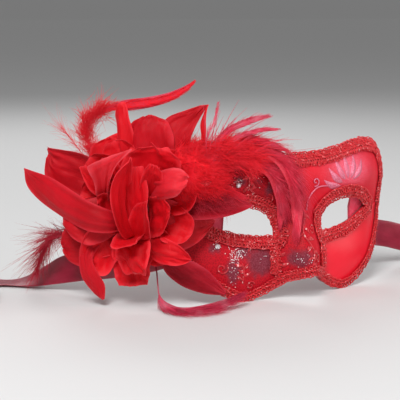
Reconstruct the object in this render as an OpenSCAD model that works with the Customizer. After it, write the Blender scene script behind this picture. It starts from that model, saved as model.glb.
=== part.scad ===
/* [Mask shell] */
// Width of the mask across the temples
mask_w = 158; // [146:1:174]
// Height from the cheek lobes to the brow corners
mask_h = 87; // [79:1:98]
// Depth of the curve that wraps round the face, without the nose
wrap_d = 62; // [50:1:72]
// How far that curve runs on past each temple
wrap_past = 10; // [7:1:16]
// Thickness of the moulded shell
shell_t = 1.2; // [0.8:0.1:2]
// How far the nose stands out
nose_out = 16; // [10:1:24]
// Half the width of the nose ridge
nose_half = 12; // [9:0.5:15]
// Depth of the hollows round the eyes
socket_d = 4; // [0:0.5:6]
// Fullness of the brow and the cheeks
relief = 3; // [0:0.5:5]

/* [Eye holes] */
// Width of an eye hole, measured straight across
eye_w = 42; // [35:1:46]
// Height of an eye hole
eye_h = 19; // [15:1:23]
// From the middle of the mask to the middle of an eye hole
eye_x = 37; // [34:0.5:40]
// Height of the middle of the eye holes, as a share of the mask's height
eye_up = 0.523; // [0.48:0.005:0.56]

/* [Fabric and braid] */
// Thickness of the fabric covers
cover_t = 0.35; // [0.2:0.05:0.8]
// Width of the braid along the brow
brow_braid_w = 7; // [5:0.5:9]
// Width of the other braids
braid_w = 5; // [3.5:0.5:6]
// Height of the braids
braid_t = 1.8; // [1:0.1:2.5]
// Diameter of a rhinestone
stone_d = 3; // [2:0.5:5]

/* [Flower] */
// Diameter of the felt base
base_d = 40; // [30:1:50]
// Thickness of the felt base
base_t = 2; // [1:0.5:4]
// Diameter of the core that the petals are sewn to
core_d = 15; // [12:0.5:20]
// Height of the core
core_h = 14; // [12:1:18]
// Thickness of a petal in its middle
petal_t = 1.2; // [0.6:0.1:2]

/* [Feathers] */
// Thickness of a feather in its middle
feather_t = 1.6; // [1:0.2:3]
// Width of a bare quill
quill_w = 0.8; // [0.6:0.1:1.2]
// Diameter of the wound binding that holds the quills on the brow
binding_d = 8; // [6:0.5:10]
// Height of the binding
binding_h = 20; // [17:1:24]

/* [Ribbons] */
// Width of the ribbon
ribbon_w = 17; // [12:1:20]
// Thickness of the ribbon
ribbon_t = 0.5; // [0.3:0.1:1]
// Length of each ribbon that is glued inside the temple, measured across
tab_run = 18; // [12:1:22]
// Height of the middle of that cut end
tab_z = 47; // [44:1:50]
// Mean radius of the coil at the end of each ribbon
coil_r = 38; // [34:1:44]
// Width of the band of turns in a coil
coil_band = 13; // [8:1:18]

/* [Hidden] */
satin = "#d8182a";
lace = "#c01428";
trim = "#c81024";
feather = "#b02040";
ribbon = "#8c1430";

// The right half of the edge, from under the nose round the cheek lobe and the temple to the brow,
// as shares of half the width and of the height
EDGE = [[0, 0.167], [0.075, 0.15], [0.14, 0.12], [0.205, 0.08], [0.29, 0.04], [0.365, 0.012],
        [0.44, 0], [0.52, 0.02], [0.61, 0.065], [0.735, 0.15], [0.855, 0.26], [0.95, 0.39], [0.99, 0.53],
        [1, 0.66], [0.985, 0.8], [0.95, 0.9], [0.89, 0.96], [0.79, 0.99], [0.66, 1], [0.5, 0.985],
        [0.36, 0.962], [0.2, 0.947], [0, 0.943]];
// Places in EDGE where the nose braid, and the temple, are met
AT_NOSE = 3;
AT_TEMPLE = 12;
// Room between the braids at the temple, and how far short of the jaw braid the nose braids end
braid_part = 0.1;
nose_short = 1.6;
// The eye hole from its inner corner along the lower lid to its outer corner, and back over the top,
// as shares of half its width and of half its height
EYE_LOWER = [[-1, -1], [-0.48, -0.95], [-0.05, -0.81], [0.33, -0.58], [0.67, -0.26], [1, 0.1]];
EYE_UPPER = [[1, 0.1], [0.62, 0.72], [0.24, 0.96], [-0.1, 1], [-0.43, 0.87], [-0.71, 0.58], [-0.91, 0.1],
             [-1, -0.47], [-1, -1]];

// Where the felt base is glued to the brow braid, as shares of half the width and of the height,
// and how far its middle lies out past that place
FLOWER_AT = [-0.94, 0.66];
flower_past = 12;
// Petals: angle round the flower, height of the root on the core, reach and height of the tip,
// width, bulge of the middle, roll
OUTER = [[167, 3.2, 73, 6, 17, 5, 15], [154, 1.4, 65, 0, 30, 3, -10], [124, 3.2, 42, 5, 23, 5, 10],
         [101, 1.4, 57, 3, 13, 2, 35], [86, 4.4, 49, 5, 30, 8, -5], [57, 1.4, 67, 0, 28, 6, 10],
         [-37, 3.6, 39, 8, 26, 6, 0], [-92, 1.4, 47, 8, 32, 4, 5], [-111, 4.4, 58, 10, 17, 9, -25],
         [-151, 1.4, 53, 3, 27, 3, 0]];
MIDDLE = [[180, 6.2, 40, 24, 26, 3, 5], [140, 7.8, 32, 21, 24, 4, -10], [63, 6.2, 35, 19, 28, 4, 5],
          [27, 7.8, 39, 26, 28, 8, -5], [-84, 7.8, 35, 27, 26, 8, 5], [-122, 6.2, 42, 18, 26, 5, -5]];
INNER = [[116, 10.6, 30, 34, 18, 4, 25], [72, 12, 27, 40, 13, 3, 40], [15, 10.6, 17, 43, 15, 4, 15],
         [-100, 11, 22, 38, 17, 4, -15], [-165, 11, 22, 35, 18, 4, 15]];
EYE_PETAL = [0, 1.4, 59, -15, 18, 7, 20];
LOW_PETAL = [-51, 1.4, 67, -8, 24, 2, 0];

// Feathers held by the binding: height of the root on it, points as shares of half the width and of the
// height with their distance off the face, and the width
BINDING = [-0.734, 0.805];
PLUME = [[11, [[-0.595, 0.897, 13], [-0.38, 0.943, 12], [-0.215, 0.897, 10], [-0.114, 0.782, 8],
               [-0.051, 0.609, 6], [-0.051, 0.448, 5], [-0.063, 0.345, 4]], 15],
         [7, [[-0.582, 0.874, 8.5], [-0.405, 0.891, 8], [-0.272, 0.828, 7], [-0.19, 0.701, 5.5],
               [-0.158, 0.586, 5], [-0.152, 0.483, 4.5]], 13],
         [15, [[-0.582, 0.954, 16], [-0.38, 0.977, 15], [-0.139, 0.92, 12]], 9],
         [3.5, [[-0.658, 0.782, 5.5], [-0.595, 0.759, 6.5], [-0.532, 0.736, 6]], 11]];
CREST = [[18.5, [[-0.696, 0.966, 21], [-0.62, 1.069, 20], [-0.557, 1.161, 18]], 4],
         [19, [[-0.608, 0.977, 23], [-0.443, 1.046, 22], [-0.278, 1.08, 19]], 7],
         [17, [[-0.57, 0.954, 20], [-0.38, 1.011, 19], [-0.215, 1.023, 17]], 5]];
// Feathers held by the felt base: angle of the root on its rim, points across, up and out of the flower,
// and the width
ARCH = [136, [[-27, 25, -4], [-36, 34, -5], [-36, 44, -4], [-26, 51, -3], [-13, 54, -2], [1, 56, -1],
              [13, 59, 0], [22, 63, 1], [28, 67, 2]], 8];
TUFT = [[-158, [[-36, -14, -4], [-50, -19, -6], [-61, -20, -8], [-68, -27, -9], [-76, -43, -11]], 13],
        [155, [[-30, 15, -7], [-42, 25, -11], [-51, 33, -12], [-57, 38, -12]], 10]];
// The feather that droops to the floor: angle of its root on the rim, points in the mask's own frame,
// and the width
FLOOR = [-78, [[-80, -40, 20], [-83, -50, 5], [-82, -62, 1.6], [-75, -70, 1.6], [-65, -72, 2.3],
               [-56, -72, 3.6], [-46, -71, 5.6]], 5];

// Ribbon routes: how far past the temple, forward and up each point lies, and the lean of the width
// from upright. The coils at their ends: how far past the temple and forward their middles lie
LEFT_ROUTE = [[-16.4, -46.2, 36.6, 0], [-9, -40.4, 31, 0], [-1, -33.5, 25.5, 0], [15, -14, 19.5, 0],
              [28, 5, 15.5, 5], [35, 19, 11.5, 25], [40.5, 30, 7, 50], [47.5, 39.5, 3, 75],
              [54, 45.5, 1.2, 90], [62, 50.5, 1, 90], [71, 55, 2.4, 80], [81, 59, 5.5, 55],
              [91, 61.5, 7.9, 25], [101, 62.8, 8.6, 5], [111, 63.2, 8.6, 0], [121, 63.2, 8.6, 0]];
RIGHT_ROUTE = [[-16.4, -46.2, 36.6, 0], [-9, -40.4, 31, 0], [-1, -33.5, 25.5, 0], [9, -27, 22.8, 0],
               [19, -24.5, 20.5, 0], [30, -24, 17.3, 0], [41, -24.5, 14, 0], [53, -26, 11.2, 0],
               [66, -29.6, 9.2, 0], [79, -32.2, 8.6, 0]];
LEFT_COIL = [121, 18.4];
RIGHT_COIL = [79, -77];

// Rhinestones on the brow and on the cheek, as shares of half the width and of the height
BROW_STONE = [-0.494, 0.77];
CHEEK_STONE = [-0.62, 0.368];

// Fineness of the meshes
PER_SPAN = 2;
BRIDGE_STEPS = 8;
LANES = 5;
BLADE_STEPS = 8;

// Where the ribbons leave the shell
tab_out_z = RIGHT_ROUTE[0][2];
// Width of a petal where it is sewn on, and the room for the thread
root_w = 3.2;
tip_w = 0.8;
thread = 0.25;
// Room for the glue under a braid, under a ribbon and under the felt base
glue = 0.15;
tab_glue = 0.4;
base_glue = 1.2;

half_w = mask_w / 2;
eye_z = eye_up * mask_h;
tab_out = half_w + RIGHT_ROUTE[0][0];
tab_in = tab_out - tab_run;
wrap_half = half_w + wrap_past;
wrap_power = 2.4;
// The nose begins at nose_top, as a share of the height, and grows over nose_run below it
nose_top = 0.76;
nose_run = 0.5;
bridge_narrow = 0.62;
// Middles of the brow and the cheeks, and how far their fullness spreads
brow_at = 0.75;
cheek_at = [0.58, 0.2];
full_x = 0.3;
full_z = 0.16;
// The brow leans back by this much at the top edge
brow_lean = 6;
top_span = len(EDGE) - 1;
cheek_steps = (AT_TEMPLE - AT_NOSE) * PER_SPAN;
brow_steps = (top_span - AT_TEMPLE) * PER_SPAN;
nose_steps = AT_NOSE * PER_SPAN;
bridge_from = cheek_steps + brow_steps;
bridge_to = bridge_from + BRIDGE_STEPS;
loop_n = bridge_to + nose_steps;
row_n = LANES + 1;

// Smooth curves through a few points
function pick(list, i) = list[max(0, min(len(list) - 1, i))];
function spline(a, b, c, d, t) =
    0.5 * (2 * b + (c - a) * t + (2 * a - 5 * b + 4 * c - d) * t * t + (3 * b - a - 3 * c + d) * t * t * t);
function curve(pts, u) =
    let (i = min(floor(u), len(pts) - 2))
    spline(pick(pts, i - 1), pts[i], pts[i + 1], pick(pts, i + 2), u - i);
function share(pts, s) = curve(pts, s * (len(pts) - 1));
function mix(a, b, s) = a + (b - a) * s;
function unit(v) = v / norm(v);
function ease(s) = let (t = max(0, min(1, s))) t * t * (3 - 2 * t);
function bell(d, reach) = exp(-d * d / (reach * reach));

// The face of the mask: how far forward it lies at each place across and up
function draft_z(z) = z / mask_h;
function wrap_y(x) = -wrap_d * pow(max(0, 1 - pow(abs(x) / wrap_half, wrap_power)), 1 / wrap_power);
function nose_y(x, z) =
    let (down = ease((nose_top - draft_z(z)) / nose_run), spread = nose_half * mix(bridge_narrow, 1, down))
    nose_out * pow(down, 1.25) * bell(x, spread);
function socket_y(x, z) = socket_d * bell(abs(x) - eye_x, eye_w * 0.55) * bell(z - eye_z, eye_h * 0.75);
function relief_y(x, z) =
    relief * (bell(draft_z(z) - brow_at, full_z)
              + bell(abs(x) / half_w - cheek_at[0], full_x) * bell(draft_z(z) - cheek_at[1], full_z));
function lean_y(z) = brow_lean * pow(max(0, draft_z(z) - brow_at) / (1 - brow_at), 2);
function face_y(x, z) = wrap_y(x) - nose_y(x, z) + socket_y(x, z) - relief_y(x, z) + lean_y(z);
function face_out(x, z, e = 0.25) =
    unit([(face_y(x + e, z) - face_y(x - e, z)) / (2 * e), -1,
          (face_y(x, z + e) - face_y(x, z - e)) / (2 * e)]);
function on_share(p, h) = on_mask(p[0] * half_w, p[1] * mask_h, h);
function out_share(p) = face_out(p[0] * half_w, p[1] * mask_h);
// Nothing on the face reaches below the floor that the cheek lobes stand on
function on_mask(x, z, h) = let (p = [x, face_y(x, z), z] + h * face_out(x, z)) [p[0], p[1], max(0, p[2])];

// Outlines of the right half, across and up
function edge_at(u) = let (p = curve(EDGE, u)) [p[0] * half_w, p[1] * mask_h];
function eye_at(p) = [eye_x + p[0] * eye_w / 2, eye_z + p[1] * eye_h / 2];
rim = concat(
    [for (k = [0 : bridge_from - 1]) edge_at(AT_NOSE + k / PER_SPAN)],
    [for (k = [0 : BRIDGE_STEPS - 1]) mix(edge_at(top_span), edge_at(0), k / BRIDGE_STEPS)],
    [for (k = [0 : nose_steps - 1]) edge_at(k / PER_SPAN)]);
upper_steps = loop_n - cheek_steps;
eye = concat(
    [for (k = [0 : cheek_steps - 1]) eye_at(share(EYE_LOWER, k / cheek_steps))],
    [for (k = [0 : upper_steps - 1]) eye_at(share(EYE_UPPER, k / upper_steps))]);

// Sheets laid on the face between the edge and the eye holes
function quad(a, b, c, d, turned) = turned ? [[a, c, b], [a, d, c]] : [[a, b, c], [a, c, d]];
function sheet_points(side, h) =
    [for (i = [0 : loop_n - 1], j = [0 : LANES])
        let (p = mix(rim[i], eye[i], j / LANES)) on_mask(side * p[0], p[1], h)];
function spot(s, layer, i, j) = ((2 * s + layer) * loop_n + i % loop_n) * row_n + j;
function wall(s, i, j, k, l, turned) =
    quad(spot(s, 0, i, j), spot(s, 1, i, j), spot(s, 1, k, l), spot(s, 0, k, l), turned);
function sheet_faces(s, turned, first, last) = concat(
    [for (i = [first : last - 1], j = [0 : LANES - 1])
        each quad(spot(s, 0, i, j), spot(s, 0, i + 1, j), spot(s, 0, i + 1, j + 1), spot(s, 0, i, j + 1),
                  turned)],
    [for (i = [first : last - 1], j = [0 : LANES - 1])
        each quad(spot(s, 1, i, j), spot(s, 1, i, j + 1), spot(s, 1, i + 1, j + 1), spot(s, 1, i + 1, j),
                  turned)],
    [for (i = [first : last - 1]) if (i < bridge_from || i >= bridge_to) each wall(s, i, 0, i + 1, 0, turned)],
    [for (i = [first : last - 1]) each wall(s, i + 1, LANES, i, LANES, turned)],
    [if (last - first < loop_n) for (j = [0 : LANES - 1])
        each concat(wall(s, first, j + 1, first, j, turned), wall(s, last, j, last, j + 1, turned))]);
module sheet(sides, first, last, low, high) {
    polyhedron(
        [for (side = sides) each concat(sheet_points(side, high), sheet_points(side, low))],
        [for (s = [0 : len(sides) - 1]) each sheet_faces(s, sides[s] > 0, first, last)]);
}

// Solids lofted through rings of points
function loft_faces(n, m, closed) = concat(
    [for (i = [0 : n - (closed ? 1 : 2)], j = [0 : m - 1])
        each quad(i * m + j, i * m + (j + 1) % m, (i + 1) % n * m + (j + 1) % m, (i + 1) % n * m + j, false)],
    closed ? [] : [for (j = [1 : m - 2]) [0, j + 1, j]],
    closed ? [] : [for (j = [1 : m - 2]) [(n - 1) * m, (n - 1) * m + j, (n - 1) * m + j + 1]]);
module loft(rings, closed = false) {
    polyhedron([for (r = rings) each r], loft_faces(len(rings), len(rings[0]), closed));
}

// Braids laid along a path on the face
function path_left(path, i, closed) =
    let (n = len(path),
         a = closed ? path[(i + n - 1) % n] : path[max(0, i - 1)],
         b = closed ? path[(i + 1) % n] : path[min(n - 1, i + 1)],
         t = unit(b - a))
    [-t[1], t[0]];
function inset(path, d, closed) = [for (i = [0 : len(path) - 1]) path[i] + d * path_left(path, i, closed)];
function braid_section(w) =
    [[-w / 2, 0], [-w / 3, 0.8 * braid_t], [0, braid_t], [w / 3, 0.8 * braid_t], [w / 2, 0], [0, 0]];
module braid(path, w, closed = false) {
    loft([for (i = [0 : len(path) - 1])
            let (left = path_left(path, i, closed))
            [for (s = braid_section(w))
                let (p = path[i] + s[0] * left) on_mask(p[0], p[1], cover_t + glue + s[1])]],
        closed);
}
function flip(p) = [-p[0], p[1]];
function backwards(list) = [for (i = [len(list) - 1 : -1 : 0]) list[i]];
function brow_path() =
    let (right = [for (k = [0 : brow_steps]) edge_at(AT_TEMPLE + max(k / PER_SPAN, braid_part))])
    concat(right, [for (k = [brow_steps - 1 : -1 : 0]) flip(right[k])]);
function jaw_path() =
    let (last = AT_TEMPLE * PER_SPAN, right = [for (k = [0 : last]) edge_at(k / PER_SPAN)])
    concat([for (k = [last : -1 : 1]) flip(right[k])], right);
function nose_path() =
    let (a = eye[0], b = rim[0], way = unit(b - a), far = norm(b - a))
    [for (k = [0 : 5]) a + way * mix(braid_w, far - nose_short * braid_w, k / 5)];

// Blades: petals and feathers, a thin lens swept along a curve
function blade_ring(p, along, out, w, t, cup, roll) =
    let (side0 = unit(cross(along, out)), up0 = cross(side0, along),
         side = cos(roll) * side0 + sin(roll) * up0, up = cos(roll) * up0 - sin(roll) * side0)
    [for (c = [[-1, cup, 0], [-0.45, 0.2 * cup, -0.5], [0.45, 0.2 * cup, -0.5], [1, cup, 0],
               [0.45, 0.2 * cup, 0.5], [-0.45, 0.2 * cup, 0.5]])
        p + side * c[0] * w / 2 + up * (c[1] * w / 2 + c[2] * t)];

// The flower stands on the left temple
flower_out = unit([-0.73, -0.68, 0.05]);
flower_across = unit(cross([0, 0, 1], flower_out));
flower_up = cross(flower_out, flower_across);
flower_seat = on_share(FLOWER_AT, cover_t + glue + braid_t)
    + base_glue * flower_out - flower_past * flower_across;
function at_flower(a, b, c) = flower_seat + a * flower_across + b * flower_up + (base_t + c) * flower_out;
function petal_w(s) = pow(s, 0.8) * pow(1 - s, 0.75) / 0.3417;
function bow(a, b, c, s) = mix(mix(a, b, s), mix(b, c, s), s);
function bow_way(a, b, c, s) = unit(mix(b - a, c - b, s));
module petal(row) {
    angle = row[0];
    start = core_d / 2 + thread;
    a = at_flower(start * cos(angle), start * sin(angle), row[1]);
    c = at_flower(row[2] * cos(angle), row[2] * sin(angle), row[3]);
    b = (a + c) / 2 + 2 * row[5] * flower_out;
    loft([for (k = [0 : BLADE_STEPS])
            let (s = mix(0, 0.985, k / BLADE_STEPS), w = max(k == 0 ? root_w : tip_w, row[4] * petal_w(s)))
            blade_ring(bow(a, b, c, s), k == 0 ? unit(c - a) : bow_way(a, b, c, s), flower_out, w,
                       petal_t * mix(1, 0.4, s), 0.25 * ease(3 * s), row[6] * s)]);
}
function feather_w(s) = pow(min(1, s / 0.2), 1.2) * pow(1 - s, 0.5);
module feather(points, outs, w) {
    n = BLADE_STEPS + 2;
    loft([for (k = [0 : n])
            let (s = k / n, e = 0.02, along = unit(share(points, min(1, s + e)) - share(points, max(0, s - e))))
            blade_ring(share(points, s), along, unit(share(outs, s)), max(quill_w, w * feather_w(s)),
                       feather_t * mix(1, 0.3, s), 0.1, 0)]);
}
// Quills start at the side of the binding or at the rim of the felt base
binding_out = out_share(BINDING);
binding_foot = on_share(BINDING, cover_t + glue);
function from_binding(h, next) =
    let (way = next - binding_foot, across = way - (way * binding_out) * binding_out)
    binding_foot + h * binding_out + unit(across) * binding_d / 2;
function from_rim(angle) = at_flower(base_d / 2 * cos(angle), base_d / 2 * sin(angle), -base_t / 2);
module mask_feather(row) {
    points = [for (p = row[1]) on_share(p, p[2])];
    outs = [for (p = row[1]) out_share(p)];
    feather(concat([from_binding(row[0], points[0])], points), concat([binding_out], outs), row[2]);
}
module flower_feather(row) {
    points = [for (p = row[1]) at_flower(p[0], p[1], p[2])];
    feather(concat([from_rim(row[0])], points), [for (p = [0 : len(points)]) flower_out], row[2]);
}
module drooping_feather(row) {
    feather(concat([from_rim(row[0])], row[1]),
            concat([flower_out, flower_out], [for (k = [2 : len(row[1])]) [0, 0, 1]]), row[2]);
}

// Ribbons
ribbon_section = [[-1, -0.6], [-1, 0.6], [0, 1], [1, 0.6], [1, -0.6], [0, -1]];
function xyz(row) = [row[0], row[1], row[2]];
function past_temple(side, rows) = [for (p = rows) [side * (half_w + p[0]), p[1], p[2], p[3]]];
module ribbon_run(side, rows) {
    route = past_temple(side, rows);
    n = len(route);
    loft([for (i = [0 : n - 1])
            let (along = unit(xyz(route[min(n - 1, i + 1)]) - xyz(route[max(0, i - 1)])),
                 level = unit(cross(along, [0, 0, 1])), up = cross(level, along), lean = route[i][3],
                 wide = cos(lean) * up + sin(lean) * level, thick = cross(along, wide))
            [for (c = ribbon_section)
                xyz(route[i]) + wide * c[0] * ribbon_w / 2 + thick * c[1] * ribbon_t / 2]]);
}
module ribbon_tab(side) {
    steps = 6;
    rings = [for (k = [0 : steps])
        let (x = side * mix(tab_in, tab_out, k / steps), z = mix(tab_z, tab_out_z, k / steps),
             half = ribbon_w / 2)
        [for (p = [[-half, 0], [0, 0], [half, 0], [half, -1], [0, -1], [-half, -1]])
            on_mask(x, z + p[0], -shell_t - tab_glue + p[1] * ribbon_t)]];
    loft(side > 0 ? rings : backwards(rings));
}
module ribbon_coil(side, place) {
    translate([side * (half_w + place[0]), place[1], 0]) rotate_extrude()
        translate([coil_r - coil_band / 2, 0]) square([coil_band, ribbon_w]);
}

module mask_shell() color(satin) sheet([1, -1], 0, loop_n, -shell_t, 0);
module brow_nose_cover() color(lace) sheet([1, -1], cheek_steps, loop_n, 0, cover_t);
module left_cheek_cover() color(lace) sheet([-1], 0, cheek_steps, 0, cover_t);
module right_cheek_cover() color(satin) sheet([1], 0, cheek_steps, 0, cover_t);
module brow_braid() color(trim) braid(inset(brow_path(), brow_braid_w / 2, false), brow_braid_w);
module jaw_braid() color(trim) braid(inset(jaw_path(), braid_w / 2, false), braid_w);
module right_eye_braid() color(trim) braid(inset(eye, -braid_w / 2, true), braid_w, true);
module left_eye_braid() color(trim)
    braid(inset(backwards([for (p = eye) flip(p)]), -braid_w / 2, true), braid_w, true);
module right_nose_braid() color(trim) braid(nose_path(), braid_w);
module left_nose_braid() color(trim) braid(backwards([for (p = nose_path()) flip(p)]), braid_w);
module turned_to(place, out) translate(place) rotate([0, acos(out[2]), atan2(out[1], out[0])]) children();
module turned_to_flower() turned_to(flower_seat, flower_out) children();
module rhinestone(p) turned_to(on_share(p, cover_t + glue), out_share(p))
    cylinder(h = stone_d / 2, d1 = stone_d, d2 = stone_d / 2, $fn = 32);
module brow_rhinestone() color("white") rhinestone(BROW_STONE);
module cheek_rhinestone() color("white") rhinestone(CHEEK_STONE);
module feather_binding() color(trim) turned_to(binding_foot, binding_out)
    cylinder(h = binding_h, d = binding_d, $fn = 48);
module flower_base() color(lace) turned_to_flower() cylinder(h = base_t, d = base_d, $fn = 64);
module flower_core() color(satin) turned_to_flower()
    translate([0, 0, base_t]) cylinder(h = core_h, d = core_d, $fn = 48);
module eye_petal() color(satin) petal(EYE_PETAL);
module low_petal() color(satin) petal(LOW_PETAL);
module arch_feather() color(feather) flower_feather(ARCH);
module floor_feather() color(feather) drooping_feather(FLOOR);
module left_ribbon_tab() color(ribbon) ribbon_tab(-1);
module right_ribbon_tab() color(ribbon) ribbon_tab(1);
module left_ribbon() color(ribbon) ribbon_run(-1, LEFT_ROUTE);
module right_ribbon() color(ribbon) ribbon_run(1, RIGHT_ROUTE);
module left_ribbon_coil() color(ribbon) ribbon_coil(-1, LEFT_COIL);
module right_ribbon_coil() color(ribbon) ribbon_coil(1, RIGHT_COIL);

mask_shell();
brow_nose_cover();
left_cheek_cover();
right_cheek_cover();
brow_braid();
jaw_braid();
left_eye_braid();
right_eye_braid();
left_nose_braid();
right_nose_braid();
brow_rhinestone();
cheek_rhinestone();
flower_base();
flower_core();
feather_binding();
for (k = [1 : len(OUTER)])
    color(satin) petal(OUTER[k - 1]);
for (k = [1 : len(MIDDLE)])
    color(satin) petal(MIDDLE[k - 1]);
for (k = [1 : len(INNER)])
    color(satin) petal(INNER[k - 1]);
eye_petal();
low_petal();
arch_feather();
floor_feather();
for (k = [1 : len(CREST)])
    color(feather) mask_feather(CREST[k - 1]);
for (k = [1 : len(PLUME)])
    color(feather) mask_feather(PLUME[k - 1]);
for (k = [1 : len(TUFT)])
    color(feather) flower_feather(TUFT[k - 1]);
left_ribbon_tab();
right_ribbon_tab();
left_ribbon();
right_ribbon();
left_ribbon_coil();
right_ribbon_coil();
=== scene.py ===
import math
import random

import bmesh
import bpy
from mathutils import Matrix, Vector, noise


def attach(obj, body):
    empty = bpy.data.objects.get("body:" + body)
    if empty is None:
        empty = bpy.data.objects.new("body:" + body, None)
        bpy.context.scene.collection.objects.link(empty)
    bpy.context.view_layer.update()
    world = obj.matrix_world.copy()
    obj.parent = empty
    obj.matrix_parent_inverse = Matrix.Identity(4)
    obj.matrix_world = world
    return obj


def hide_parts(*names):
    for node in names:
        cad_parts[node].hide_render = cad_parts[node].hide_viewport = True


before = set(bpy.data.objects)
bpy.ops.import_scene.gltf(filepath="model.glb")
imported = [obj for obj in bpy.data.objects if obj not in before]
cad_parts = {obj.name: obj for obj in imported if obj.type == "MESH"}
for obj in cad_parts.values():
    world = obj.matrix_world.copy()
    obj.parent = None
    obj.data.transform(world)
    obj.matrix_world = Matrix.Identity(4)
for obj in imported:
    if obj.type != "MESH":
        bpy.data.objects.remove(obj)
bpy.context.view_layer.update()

MM = 0.001
scene = bpy.context.scene
scene.view_settings.view_transform = "Standard"

# Sizes of the mask, in millimetres
HALF_W, MASK_H = 79.0, 87.0
WRAP_D, WRAP_PAST, WRAP_POWER = 62.0, 10.0, 2.4
SHELL_T, COVER_T, BRAID_T, GLUE = 1.2, 0.35, 1.8, 0.15
EYE_W, EYE_H, EYE_X, EYE_Z = 42.0, 19.0, 37.0, 45.5
BROW_BRAID_W, BRAID_W = 7.0, 5.0
RIBBON_W, RIBBON_LENGTH = 17.0, 400.0
# The nose: how far it stands out, half its width, and where it starts and ends as shares of the height
NOSE_OUT, NOSE_HALF, NOSE_TOP, NOSE_RUN, NOSE_POWER, BRIDGE_NARROW = 16.0, 12.0, 0.76, 0.5, 1.25, 0.62
# The sunken eye sockets, whose reach is a share of the eye hole
SOCKET_D, SOCKET_W, SOCKET_H = 4.0, 0.55, 0.75
# The full brow and cheeks, whose places and reach are shares of the mask
RELIEF, BROW_AT, CHEEK_AT, FULL_X, FULL_Z, BROW_LEAN = 3.0, 0.75, (0.58, 0.2), 0.3, 0.16, 6.0

# Half of the mask's edge and the rim of an eye hole, as shares of the sizes
EDGE = [(0, 0.167), (0.075, 0.15), (0.14, 0.12), (0.205, 0.08), (0.29, 0.04), (0.365, 0.012),
        (0.44, 0), (0.52, 0.02), (0.61, 0.065), (0.735, 0.15), (0.855, 0.26), (0.95, 0.39), (0.99, 0.53),
        (1, 0.66), (0.985, 0.8), (0.95, 0.9), (0.89, 0.96), (0.79, 0.99), (0.66, 1), (0.5, 0.985),
        (0.36, 0.962), (0.2, 0.947), (0, 0.943)]
AT_NOSE, AT_TEMPLE = 3, 12
EYE_RIM = [(-1, -1), (-0.48, -0.95), (-0.05, -0.81), (0.33, -0.58), (0.67, -0.26), (1, 0.1), (0.62, 0.72),
           (0.24, 0.96), (-0.1, 1), (-0.43, 0.87), (-0.71, 0.58), (-0.91, 0.1), (-1, -0.47)]
OUTER_CORNER = 5


# Curves and the face
def mix(a, b, s):
    return a + (b - a) * s


def ease(s):
    t = max(0.0, min(1.0, s))
    return t * t * (3 - 2 * t)


def bell(d, reach):
    return math.exp(-d * d / (reach * reach))


def wander(x, y, z):
    """Smooth noise between -1 and 1."""
    return noise.noise(Vector((x, y, z)))


def round_point(turn, reach):
    """A point on a circle, by its turn in degrees."""
    a = math.radians(turn)
    return reach * math.cos(a), reach * math.sin(a)


def through(points, u):
    """The smooth curve through points, at u counted in points."""
    points = [Vector(p) for p in points]
    i = max(0, min(int(math.floor(u)), len(points) - 2))
    t = u - i
    a, b = points[max(0, i - 1)], points[i]
    c, d = points[i + 1], points[min(len(points) - 1, i + 2)]
    return 0.5 * (2 * b + (c - a) * t + (2 * a - 5 * b + 4 * c - d) * t * t
                  + (3 * b - a - 3 * c + d) * t ** 3)


def along(points, s):
    return through(points, s * (len(points) - 1))


def dense_curve(points, parts):
    """Points of the smooth curve, with every span cut into parts."""
    return [through(points, k / parts) for k in range(parts * (len(points) - 1) + 1)]


def face_y(x, z):
    """How far back the surface of the face lies."""
    zz = z / MASK_H
    wrap = -WRAP_D * max(0.0, 1 - (abs(x) / (HALF_W + WRAP_PAST)) ** WRAP_POWER) ** (1 / WRAP_POWER)
    drop = ease((NOSE_TOP - zz) / NOSE_RUN)
    nose = NOSE_OUT * drop ** NOSE_POWER * bell(x, NOSE_HALF * mix(BRIDGE_NARROW, 1, drop))
    socket = SOCKET_D * bell(abs(x) - EYE_X, EYE_W * SOCKET_W) * bell(z - EYE_Z, EYE_H * SOCKET_H)
    full = RELIEF * (bell(zz - BROW_AT, FULL_Z)
                     + bell(abs(x) / HALF_W - CHEEK_AT[0], FULL_X) * bell(zz - CHEEK_AT[1], FULL_Z))
    lean = BROW_LEAN * (max(0.0, zz - BROW_AT) / (1 - BROW_AT)) ** 2
    return wrap - nose + socket - full + lean


def face_out(x, z, step=0.25):
    """The way straight out of the face."""
    across = (face_y(x + step, z) - face_y(x - step, z)) / (2 * step)
    upward = (face_y(x, z + step) - face_y(x, z - step)) / (2 * step)
    return Vector((across, -1, upward)).normalized()


def on_mask(x, z, h):
    """The point at a height h over the face."""
    p = Vector((x, face_y(x, z), z)) + h * face_out(x, z)
    p.z = max(0.0, p.z)
    return p


def edge_at(u):
    p = through(EDGE, u)
    return Vector((p.x * HALF_W, p.y * MASK_H))


def resample(path, step, closed=False):
    """The path again, with its points about step apart."""
    pts = [Vector(p) for p in path]
    if closed:
        pts = pts + [pts[0]]
    far = [0.0]
    for a, b in zip(pts, pts[1:]):
        far.append(far[-1] + (b - a).length)
    count = max(2, round(far[-1] / step))
    out, i = [], 0
    for k in range(count if closed else count + 1):
        d = far[-1] * k / count
        while i < len(pts) - 2 and far[i + 1] < d:
            i += 1
        out.append(pts[i].lerp(pts[i + 1], (d - far[i]) / max(1e-9, far[i + 1] - far[i])))
    return out


# Pieces
def keep(obj, slot, *nodes):
    """Puts a finished piece on the part, in place of the plain solids it stands for."""
    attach(obj, "root")
    if nodes:
        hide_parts(*nodes)
    return obj


def piece(bm, name, material, smooth=True):
    for f in bm.faces:
        f.smooth = smooth
    mesh = bpy.data.meshes.new(name)
    bm.to_mesh(mesh)
    bm.free()
    mesh.materials.append(material)
    obj = bpy.data.objects.new(name, mesh)
    scene.collection.objects.link(obj)
    return obj


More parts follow.
